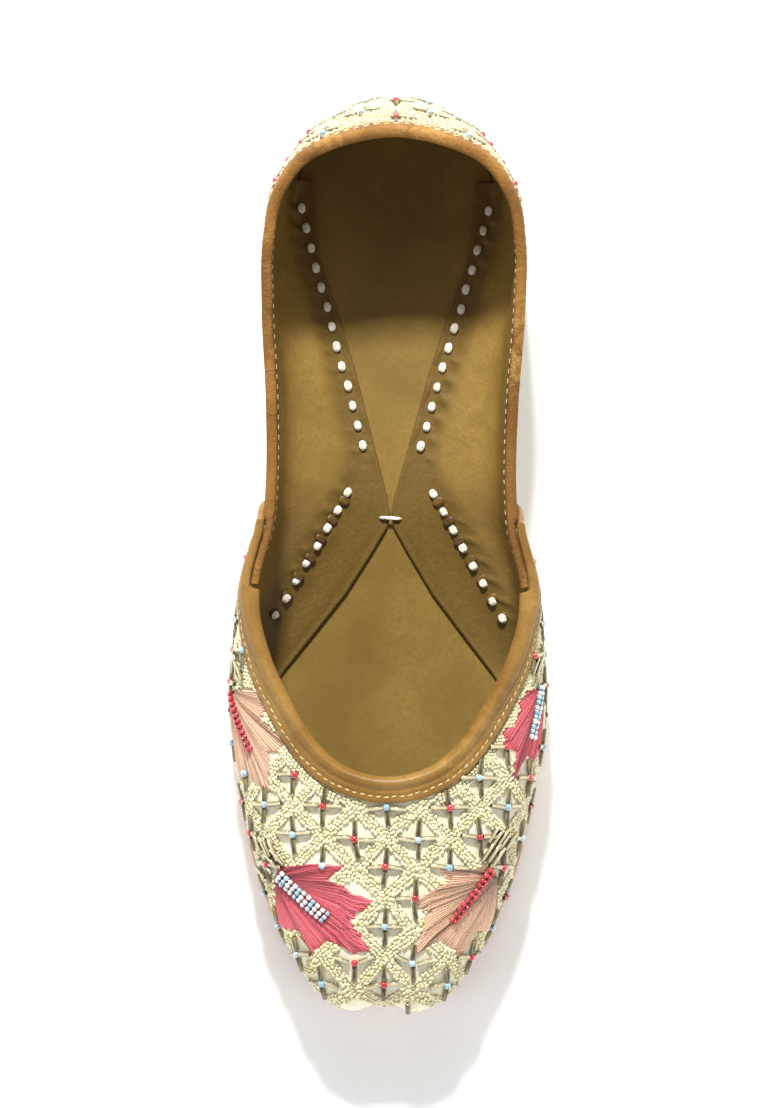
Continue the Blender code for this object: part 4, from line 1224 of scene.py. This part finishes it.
def evenly(line, pitch):
    """Places on a polyline a pitch apart, as whole and broken entry numbers."""
    length = np.concatenate(((0,), np.cumsum(np.linalg.norm(np.diff(line, axis=0), axis=1))))
    count = max(int(length[-1] / pitch), 1)
    return np.interp((np.arange(count) + 0.5) * length[-1] / count, length, np.arange(len(line)))


def stitch_along(name, line, out, pitch, size, paint, sway=0.0, shape=COTTON, keep=None):
    """Stitches at a pitch along a line (n, 3) with outward directions (n, 3)."""
    at = evenly(line, pitch)
    numbers = np.arange(len(line))
    place = np.stack([np.interp(at, numbers, line[:, c]) for c in range(3)], -1)
    normal = unit(np.stack([np.interp(at, numbers, out[:, c]) for c in range(3)], -1))
    ahead = np.stack([np.interp(at + 0.5, numbers, line[:, c]) for c in range(3)], -1)
    behind = np.stack([np.interp(at - 0.5, numbers, line[:, c]) for c in range(3)], -1)
    way = unit(ahead - behind)
    side = np.cross(normal, way)
    way = unit(way + side * (sway + chance.normal(0, 0.05, (len(at), 1))))
    place = place + side * chance.normal(0, 0.00012, (len(at), 1))
    sizes = np.tile(size, (len(at), 1)) * (1 + chance.normal(0, 0.04, (len(at), 1)))
    points, faces = scatter(shape, place, normal, way, sizes)
    tone = np.repeat(chance.random(len(at)), len(shape[0]))
    return put(name, points, faces, paint, tone=tone)


def rim_line(first, last, down, out, step=0.1):
    """A line along the rim at a depth and offset, with its outward directions."""
    stations = np.arange(first, last, step)
    thickness = wall_thickness(stations) if out is None else 0 * stations
    offset = thickness + CLEARANCE + BINDING_THICKNESS * 0.9 if out is None else out + thickness
    line = at_depth(stations, down, offset)
    return line, unit(at_depth(stations, down, offset + 0.001) - line)


def build_binding_stitches():
    """Running stitches: one line on the vamp's band, one on its back edges, and one inside the quarter's band."""
    line, out = rim_line(-LAP_EDGE + 0.9, LAP_EDGE - 0.9, VAMP_BAND * 0.66, None)
    stitch_along("throat_stitches", line, out, 0.0022, (0.00150, 0.00042, 0.00036), GOLD_STITCH, 0.12)
    for sign, word in ((1, "right"), (-1, "left")):
        rows = np.linspace(1.86, 0.20, 165)
        stations = LAP_EDGE - VAMP_BAND * 0.66 / spacing_at(LAP_EDGE, rows)
        point, normal, up_way = wall_frame(stations, rows)
        line = (point + normal * (wall_thickness(stations) + CLEARANCE + BINDING_THICKNESS)[:, None]) * (sign, 1, 1)
        name = "back_edge_stitches_" + word
        stitch_along(name, line, normal * (sign, 1, 1), 0.0022, (0.00150, 0.00042, 0.00036), GOLD_STITCH)
    inner = -QUARTER_GAP - QUARTER_STRIP * 0.85
    stations = np.arange(QUARTER_END + 0.4, 96 - QUARTER_END - 0.4, 0.1)
    line = at_depth(stations, QUARTER_BAND * 0.62, inner)
    out = unit(line - at_depth(stations, QUARTER_BAND * 0.62, inner + 0.001))
    size = (0.0017, 0.0006, 0.0005)
    stitch_along("collar_stitches_inside", line, out, 0.0028, size, CREAM_STITCH, 0.1)
    stations = np.arange(LAP_EDGE + 0.9, 96 - LAP_EDGE - 0.9, 0.1)
    outer = QUARTER_WALL + QUARTER_GAP + QUARTER_STRIP * 0.85
    line = at_depth(stations, QUARTER_BAND * 0.66, outer)
    out = unit(at_depth(stations, QUARTER_BAND * 0.66, outer + 0.001) - line)
    stitch_along("collar_stitches_outside", line, out, 0.0028, size, CREAM_STITCH, 0.1)


def sole_height(y):
    """The underside that shows: the tap behind its front edge, the sole before it."""
    return np.where(y > (TAP_FRONT - 0.5) * SHOE_LENGTH, 0.0, underside(y))


def build_sole_stitches():
    """Fat cotton stitches round the sole and through the tap, flush with the leather."""
    ring = STITCH_RING.copy()
    ring[:, 2] = sole_height(ring[:, 1]) + 0.00072
    out = np.tile((0.0, 0.0, -1.0), (len(ring), 1))
    stitch_along("sole_stitches", ring, out, 0.0050, (0.0025, 0.0018, 0.0010), COTTON_STITCH, 0.45, shape=BLOCK)


# The quarter's outside: the beaded counter round the heel and the chain-stitched sides

QUARTER_STATIONS = np.arange(LAP_EDGE, 48.01, 0.25)
QUARTER_LINE = wall_frame(QUARTER_STATIONS, 0 * QUARTER_STATIONS + 1.35)[0]
QUARTER_LENGTH = np.concatenate(((0,), np.cumsum(np.linalg.norm(np.diff(QUARTER_LINE, axis=0), axis=1))))


def quarter_place(back, up):
    """Station and row of a place on the quarter: metres back from the vamp's edge, and metres up from the sole."""
    station = np.interp(back, QUARTER_LENGTH, QUARTER_STATIONS)
    total = depth_of(station, 0 * station)
    return station, row_down(station, total - up), total - up


def sew_quarter(name, shape, back, up, angle, sizes, lift, paint, sign):
    """One piece of beads or links on one side of the quarter. angle turns from backward to upward."""
    station, row, down = quarter_place(back, up)
    point, normal, up_way = wall_frame(station, row)
    point = point + normal * (QUARTER_WALL + lift)
    backward = unit(np.cross(normal, up_way)) * -1
    ahead = wall_frame(station + 0.05, row)[0] - wall_frame(station - 0.05, row)[0]
    backward = np.where((backward * ahead).sum(axis=1, keepdims=True) < 0, -backward, backward)
    way = backward * np.cos(angle)[:, None] + up_way * np.sin(angle)[:, None]
    flip = np.array((sign, 1, 1))
    points, faces = scatter(shape, point * flip, normal * flip, way * flip, sizes)
    return put(name, points, faces, paint, tone=tones(shape, len(back)), sharp=60)


def link_shape():
    """A flat chain link: an oval ring, its x radius 0.5 and y radius 0.5, drawn in at one end."""
    a = np.linspace(0, 2 * math.pi, 10, endpoint=False)[:, None]
    b = np.linspace(0, 2 * math.pi, 4, endpoint=False)[None] + math.pi / 4
    waist = 1 - 0.35 * np.cos(a)
    x = np.cos(a) * (0.5 + 0.13 * np.cos(b))
    y = np.sin(a) * waist * (0.40 + 0.16 * np.cos(b))
    return np.stack((x, y, 0.5 * np.sin(b) + 0 * a), -1).reshape(-1, 3), quads(10, 4, True, True)


COUNTER_START = float(np.interp(0.095, QUARTER_LINE[:, 1], QUARTER_LENGTH))


def build_zari(sign, word):
    """Nested chevrons of chain stitch over a darker sheet, painted shade for the gaps between the links: short arms
    along the front line, long arms along the sole.
    """
    pitch, link = 0.00165, 0.00185
    front = np.interp((0.045, 0.015), QUARTER_LINE[:, 1], QUARTER_LENGTH)
    tall = 0.030
    lean = unit(np.array((front[1] - front[0], tall)))
    back, up, angle = [], [], []
    for k in range(24):
        step = k * pitch
        corner = front[0] + step * (1 + lean[0]) / lean[1]
        run = np.arange(corner + link * 0.4, COUNTER_START, link * 0.92)
        back.append(run)
        up.append(0 * run + 0.0045 + step)
        angle.append(0 * run)
        rise = np.arange(link * 0.5, 0.05, link * 0.92)
        back.append(corner + rise * lean[0])
        up.append(0.0045 + step + rise * lean[1])
        angle.append(0 * rise + math.atan2(lean[1], lean[0]))
    back, up, angle = np.concatenate(back), np.concatenate(up), np.concatenate(angle)
    station, row, down = quarter_place(back, up)
    keep = (down > QUARTER_BAND + 0.0010) & (back < COUNTER_START)
    back, up, angle = back[keep], up[keep], angle[keep] + chance.normal(0, 0.05, keep.sum())
    size = np.tile((0.0024, 0.00108, 0.00060), (len(back), 1)) * (1 + chance.normal(0, 0.04, (len(back), 1)))
    # A sheet of painted shade under the links, so that the gaps between them read dark.
    v, u = np.meshgrid(np.linspace(0, 1, 24), np.linspace(0, 1, 60), indexing="ij")
    left = front[0] - 0.0006 + v * 0.026 * lean[0] / lean[1]
    back_at = left + (COUNTER_START - left) * u
    station = np.interp(back_at, QUARTER_LENGTH, QUARTER_STATIONS)
    room = depth_of(station, 0 * station) - QUARTER_BAND - 0.0003 - 0.0038
    station, row, down = quarter_place(back_at, 0.0038 + v * room)
    point, normal, up_way = wall_frame(station, row)
    shade_sheet = (point + normal * (QUARTER_WALL + 0.00005)) * (sign, 1, 1)
    faces = quads(24, 60)
    put("chain_shade_sheet_" + word, shade_sheet, faces if sign < 0 else faces[:, ::-1], ZARI_SHADE_SHEET)
    sew_quarter("chain_stitch_" + word, link_shape(), back, up, angle, size, 0.00022, ZARI, sign)


def build_counter(sign, word):
    """The counter: close rows of pearls, broken by crosses of short bugles round red and blue beads."""
    end = QUARTER_LENGTH[-1]
    u = np.arange(COUNTER_START + 0.0008, end - 0.0004, 0.00118)
    v = np.arange(0.0048, 0.046, 0.00112)
    back, up = np.meshgrid(u, v, indexing="ij")
    back = back + (np.arange(len(v)) % 2)[None] * 0.00059
    back, up = back.ravel(), up.ravel()
    station, row, down = quarter_place(back, up)
    i, j = (end - back) / 0.0087, (down - 0.0082) / 0.0085
    near_i, near_j = np.round(i), np.round(j)
    even = (near_i + near_j) % 2 == 0
    di, dj = np.abs(i - near_i) * 0.0087, np.abs(j - near_j) * 0.0085
    cross = even & ((di < 0.0010) | (dj < 0.0010)) & (di < 0.0047) & (dj < 0.0047)
    keep = (down > QUARTER_BAND + 0.0007) & ~cross & (back < end)
    back, up = back[keep], up[keep]
    back, up = back + chance.normal(0, 0.0001, back.shape), up + chance.normal(0, 0.0001, up.shape)
    size = 0.00114 * (1 + chance.normal(0, 0.05, (len(back), 1))) * np.ones((1, 3))
    # The counter's pearls take the darker copy of the pearl paint: painted shade.
    sew_quarter("counter_pearls_" + word, SEED, back, up, chance.random(len(back)) * 6, size, 0.0004, SHADED_COUNTER_PEARL, sign)
    gi, gj = np.meshgrid(np.arange(0, 7), np.arange(0, 5), indexing="ij")
    some = ((gi + gj) % 2 == 0) & ~((gi == 0) & (sign < 0))
    gi, gj = gi[some], gj[some]
    centre_back = end - gi * 0.0087
    station = np.interp(centre_back, QUARTER_LENGTH, QUARTER_STATIONS)
    centre_up = depth_of(station, 0 * station) - 0.0082 - gj * 0.0085
    keep = (centre_back > COUNTER_START + 0.002) & (centre_up > 0.0062)
    gi, gj, centre_back, centre_up = gi[keep], gj[keep], centre_back[keep], centre_up[keep]
    red = (np.floor(gi / 2) + gj) % 2 == 0
    for name, paint, chosen in (("red", BEAD_RED, red), ("blue", BEAD_BLUE, ~red)):
        size = np.tile((0.0018, 0.0020, 0.0019), (chosen.sum(), 1))
        angle = chance.random(chosen.sum()) * 6
        name = "counter_" + name + "_" + word
        sew_quarter(name, ROUND, centre_back[chosen], centre_up[chosen], angle, size, 0.0009, paint, sign)
    turns = np.array((0, math.pi / 2, math.pi, -math.pi / 2))
    # Painted reflection: the same glass is painted gold across the counter and dark up it.
    for name, paint, pair in (("gold", BUGLE_GOLD_REFLECTION, (0, 2)), ("dark", BUGLE_DARK_REFLECTION, (1, 3))):
        angle = np.tile(turns[list(pair)], len(gi)) + chance.normal(0, 0.07, 2 * len(gi))
        back = np.repeat(centre_back, 2) + np.cos(angle) * 0.0030
        up = np.repeat(centre_up, 2) + np.sin(angle) * 0.0030
        keep = (back < end + 0.004) & (up > 0.0055)
        back, up, angle = np.minimum(back[keep], end), up[keep], angle[keep]
        size = np.tile((0.0039, 0.0012, 0.0012), (len(back), 1))
        sew_quarter("counter_" + name + "_bugles_" + word, BUGLE, back, up, angle, size, 0.0006, paint, sign)


# Inside: the lining's turned-in flaps, their stitches and the puckers between

# Columns: millimetres from the toe, half of the gap between the flaps' cut edges
FLAP_EDGE = (
    (82, 40.0), (88, 35.0), (95.5, 29.5), (105, 22.0), (118, 12.0), (130, 4.6), (136.5, 0.9), (140.5, 0.3), (145, 1.1),
    (150.7, 2.6), (159.7, 5.0), (173.7, 8.7), (180, 10.4), (189, 13.2), (201, 17.4), (212, 21.0), (222, 22.0), (231, 22.4), (238, 22.6),
)


def insole_height(y):
    return underside(y) + SOLE_THICKNESS + CLEARANCE + INSOLE_THICKNESS


def inside_profiles(y):
    """For each slice across the shoe: 90 points from the flap's cut edge over the insole and up the wall to the binding,
    with the corner at the wall's foot rounded by a running mean."""
    half = np.linspace(2.5, 47.9, 420)
    rows = np.linspace(0, 2, 81)
    wall = inner_wall(half[:, None], rows[None, :])
    depth = depth_of(half[:, None], rows[None, :] + 0 * half[:, None])
    ordered = np.maximum.accumulate(wall[:, :, 1], axis=0) + np.arange(len(half))[:, None] * 1e-9
    gap = np.interp((y + SHOE_LENGTH / 2) * 1000, *np.array(FLAP_EDGE).T) / 1000
    found = np.empty((len(y), 90, 2))
    window = np.ones(11) / 11
    for n, at in enumerate(y):
        station = np.array([np.interp(at, ordered[:, k], half) for k in range(len(rows))])
        place = (station - half[0]) / (half[1] - half[0])
        x = look_up(wall[:, :, 0], place, np.arange(len(rows))) - 0.0003
        z = look_up(wall[:, :, 2], place, np.arange(len(rows)))
        down = look_up(depth, place, np.arange(len(rows)))
        floor = insole_height(at) + 0.0008
        keep = (z > floor + 0.0004) & (x > gap[n]) & (down > QUARTER_BAND * 0.6)
        foot = np.interp(floor, z, x)
        line = np.stack((np.append(np.linspace(gap[n], max(foot, gap[n] + 1e-4), 8), x[keep]),
                         np.append(np.full(8, floor), z[keep])), -1)
        length = np.concatenate(((0,), np.cumsum(np.linalg.norm(np.diff(line, axis=0), axis=1))))
        even = np.linspace(0, length[-1], 90)
        line = np.stack([np.interp(even, length, line[:, c]) for c in range(2)], -1)
        padded = np.pad(line, ((5, 5), (0, 0)), mode="reflect", reflect_type="odd")
        found[n] = np.stack([np.convolve(padded[:, c], window, "valid") for c in range(2)], -1)
    return found


INSIDE_Y = np.linspace(-0.046, 0.1045, 300)
INSIDE = inside_profiles(INSIDE_Y)
INSIDE_WAY = unit(np.gradient(INSIDE, axis=1))
INSIDE_OUT = np.stack((-INSIDE_WAY[:, :, 1], INSIDE_WAY[:, :, 0]), -1)


def inside_line(x, y):
    """Points on the inside at plan places of the right half, with the direction away from the leather."""
    n = np.interp(y, INSIDE_Y, np.arange(len(INSIDE_Y)))
    near = np.round(n).astype(int)
    place = np.array([np.interp(a, INSIDE[k, :, 0], np.arange(90)) for a, k in zip(x, near)])
    z = look_up(INSIDE[:, :, 1], n, place)
    out = np.stack([look_up(INSIDE_OUT[:, :, c], n, place) for c in range(2)], -1)
    return np.stack((x, y, z), -1), np.stack((out[:, 0], 0 * x, out[:, 1]), -1)


def build_flap(sign, word):
    """The lining from the cut edge to the binding. Its cut edge is raised and round; it sinks along the stitch rows and is
    drawn into soft folds beside them."""
    g = ((INSIDE_Y + SHOE_LENGTH / 2) * 1000)[:, None]
    x, z = INSIDE[:, :, 0], INSIDE[:, :, 1]
    step = np.linalg.norm(np.diff(INSIDE, axis=1), axis=2)
    run = np.concatenate((np.zeros((len(x), 1)), np.cumsum(step, axis=1)), axis=1)
    row = np.array([np.interp(r, line, length) for r, line, length in zip(stitch_row(g[:, 0]), x, run)])[:, None]
    away = (run - row) * 1000
    beat = 2 * math.pi * g / 5.6
    live = ease((g - 108) / 6) * ease((232 - g) / 5) * (1 - 0.8 * bump(g - 152, 3))
    folds = 0.00040 * np.cos(beat + away * 0.45 * sign) * bump(away - 2.4, 2.4)
    folds = folds + 0.00022 * np.cos(beat * 0.5 - away * 0.6 + sign) * bump(away + 2.6, 2.2)
    sunk = -0.00045 * bump(away, 0.9) - 0.0003 * np.cos(beat) ** 2 * bump(away, 1.6)
    soft = 0.00022 * np.sin(x * 230 + g * 0.09 + sign) + 0.00016 * np.sin(run * 420 - g * 0.05 * sign)
    edge = 0.00025 * bump(run * 1000 - 0.7, 0.5)
    lift = ((folds + sunk) * live + soft * ease(run / 0.004)) * ease((run[:, -1:] - run) / 0.006) + edge
    lift = 0.5 * (lift + np.hypot(lift, 0.00016))
    x, z = x + INSIDE_OUT[:, :, 0] * lift, z + INSIDE_OUT[:, :, 1] * lift
    z = np.maximum(z, insole_height(INSIDE_Y)[:, None] + 0.0002)
    lip = np.stack((x[:, :1] - 0.00012, z[:, :1] - np.array((0.0005,))), -1)
    under = np.stack((x[:, :1] + 0.0001, z[:, :1] - 0.0007), -1)
    profile = np.concatenate((under, lip, np.stack((x, z), -1)), axis=1)
    points = np.stack((sign * profile[..., 0], INSIDE_Y[:, None] + 0 * profile[..., 0], profile[..., 1]), -1)
    faces = quads(len(INSIDE_Y), profile.shape[1])
    if sign > 0:
        faces = faces[:, ::-1]
    tone = 0.8 * (1 - ease((away - 2.5) / 6)) * ease((g - 86) / 16)
    tone = np.concatenate((tone[:, :1], tone[:, :1], tone), axis=1)
    return put("lining_flap_" + word, points, faces[:, ::-1], FLAP, sharp=60, tone=tone.ravel())


def stitch_row(g):
    """Half width in metres of the stitch rows at millimetres from the toe."""
    rows = ((82, 46.0), (108, 34.0), (113.8, 30.6), (147.3, 11.4), (151, 9.2), (154, 8.2), (157.5, 7.6), (228.3, 27.2), (240, 30.5))
    return np.interp(g, *np.array(rows).T) / 1000


def build_inside_stitches():
    """White stitches in four rows on the flaps, one across the tie, and dark puckers between the front ones."""
    for sign, word in ((1, "right"), (-1, "left")):
        for part, first, last in (("rear", 228.5, 156.5), ("front", 148.5, 109.0)):
            g = np.linspace(first, last, 160)
            line, out = inside_line(stitch_row(g), g / 1000 - SHOE_LENGTH / 2)
            line, out = line * (sign, 1, 1) + out * (sign, 1, 1) * 0.0005, out * (sign, 1, 1)
            name = part + "_stitches_" + word
            stitch_along(name, line, out, 0.0056, (0.0030, 0.0020, 0.0012), WHITE_STITCH, 0.1 * sign)
            if part == "front":
                between = line[8:] - out[8:] * 0.0003
                name = "front_puckers_" + word
                stitch_along(name, between, out[8:], 0.0056, (0.0030, 0.0032, 0.0014), PUCKER)
    y = np.full(12, 0.0100)
    line = np.stack((np.linspace(-0.0032, 0.0032, 12), y, insole_height(y) + 0.0016), -1)
    out = np.tile((0.0, 0.0, 1.0), (12, 1))
    stitch_along("tie_stitch", line, out, 0.0064, (0.0064, 0.0010, 0.0010), WHITE_STITCH)


def build_knot():
    """A frayed thread end on the sole: a few short strands lying over one another."""
    spots = np.array(((-3.4, 0.9, 1.1), (-2.0, 0.1, -0.9), (-0.6, 0.9, 1.2), (0.9, -0.2, -0.5), (2.2, 0.8, 0.9),
                      (3.5, -0.6, 0.1), (4.3, 0.5, 1.3)))
    y = spots[:, 1] / 1000
    place = np.stack((spots[:, 0] / 1000, y, underside(y) - 0.0001), -1)
    angle = spots[:, 2]
    way = np.stack((np.cos(angle), np.sin(angle), 0 * angle), -1)
    normal = np.tile((0.0, 0.0, -1.0), (len(spots), 1))
    size = np.tile((0.0030, 0.0011, 0.0009), (len(spots), 1))
    points, faces = scatter(COTTON, place, normal, way, size)
    put("sole_knot", points, faces, COTTON_STITCH, tone=np.repeat(chance.random(len(spots)), len(COTTON[0])))


build_lattice()
build_throat_pearls()
build_crosses()
build_flower("toe_left", PINK)
build_flower("toe_right", PEACH)
build_flower("side_left", PEACH)
build_flower("side_right", PINK)
build_stamen("toe_left", [BEAD_WHITE, BEAD_BLUE])
build_stamen("toe_right", [BEAD_RED])
build_stamen("side_left", [BEAD_RED])
build_stamen("side_right", [BEAD_WHITE, BEAD_BLUE])
build_sprays()
build_binding_stitches()
build_sole_stitches()
for sign, word in ((1, "right"), (-1, "left")):
    build_zari(sign, word)
    build_counter(sign, word)
    build_flap(sign, word)
build_inside_stitches()
build_knot()


# The photographer's table, light and camera

def build_floor():
    """A pale sheet lying flat, with the faintest unevenness. It glows a little of its own, painted light that pales its
    shadows and lights the shoe from below.
    """
    x, y = np.meshgrid(np.linspace(-1.6, 1.6, 41), np.linspace(-1.6, 1.6, 41), indexing="ij")
    p = Paint("glowing_pale_table")
    tint = p.noise(8, 2)
    # Painted light: the sheet glows, though it is no lamp.
    paint = p.finish(p.mix(tint, colour("FAFAFA"), colour("FDFDFD")), 0.9, p.noise(500, 2), 0.00002,
                     emission_color=(1, 1, 1, 1), emission_strength=0.2)
    mesh = bpy.data.meshes.new("table_sheet")
    points = np.stack((x, y, 0 * x - 0.0002), -1).reshape(-1, 3)
    mesh.from_pydata(points.tolist(), [], quads(41, 41).tolist())
    mesh.materials.append(paint)
    sheet = bpy.data.objects.new("table_sheet", mesh)
    bpy.context.scene.collection.objects.link(sheet)


def add_light(name, place, size, power, tint=(1, 1, 1)):
    """A square soft light at `place`, facing the shoe."""
    data = bpy.data.lights.new(name, "AREA")
    data.size, data.energy, data.color = size, power, tint
    lamp = bpy.data.objects.new(name, data)
    lamp.location = place
    way = -np.array(place, float)
    lamp.rotation_euler = (math.acos(-way[2] / np.linalg.norm(way)), 0, math.atan2(-way[0], way[1]))
    lamp.rotation_mode = "XYZ"
    bpy.context.scene.collection.objects.link(lamp)
    return lamp


def add_camera():
    """Straight above, the toe at the bottom of the frame, leaning a little as in the photograph."""
    data = bpy.data.cameras.new("camera")
    data.sensor_fit = "VERTICAL"
    data.sensor_height, data.lens = 24.0, 200.0
    camera = bpy.data.objects.new("camera", data)
    camera.location = (0, 0, 2.60)
    camera.rotation_euler = (0, 0, math.radians(0.8))
    bpy.context.scene.collection.objects.link(camera)
    bpy.context.scene.camera = camera


build_floor()
add_light("heel_side_key", (-0.12, 1.40, 1.16), 0.18, 55)
add_light("soft_top", (-0.1, 1.3, 1.3), 1.1, 6)
add_light("soft_toe", (0, -1.6, 0.38), 0.8, 9)
add_light("soft_left", (-1.5, -0.5, 0.75), 1.0, 9)
add_light("soft_right", (1.5, -0.5, 0.75), 1.0, 9)
world = bpy.data.worlds.new("studio")
world.use_nodes = True
world.node_tree.nodes["Background"].inputs["Color"].default_value = (1, 1, 1, 1)
world.node_tree.nodes["Background"].inputs["Strength"].default_value = 0.15
bpy.context.scene.world = world
bpy.context.scene.view_settings.view_transform = "Standard"
add_camera()
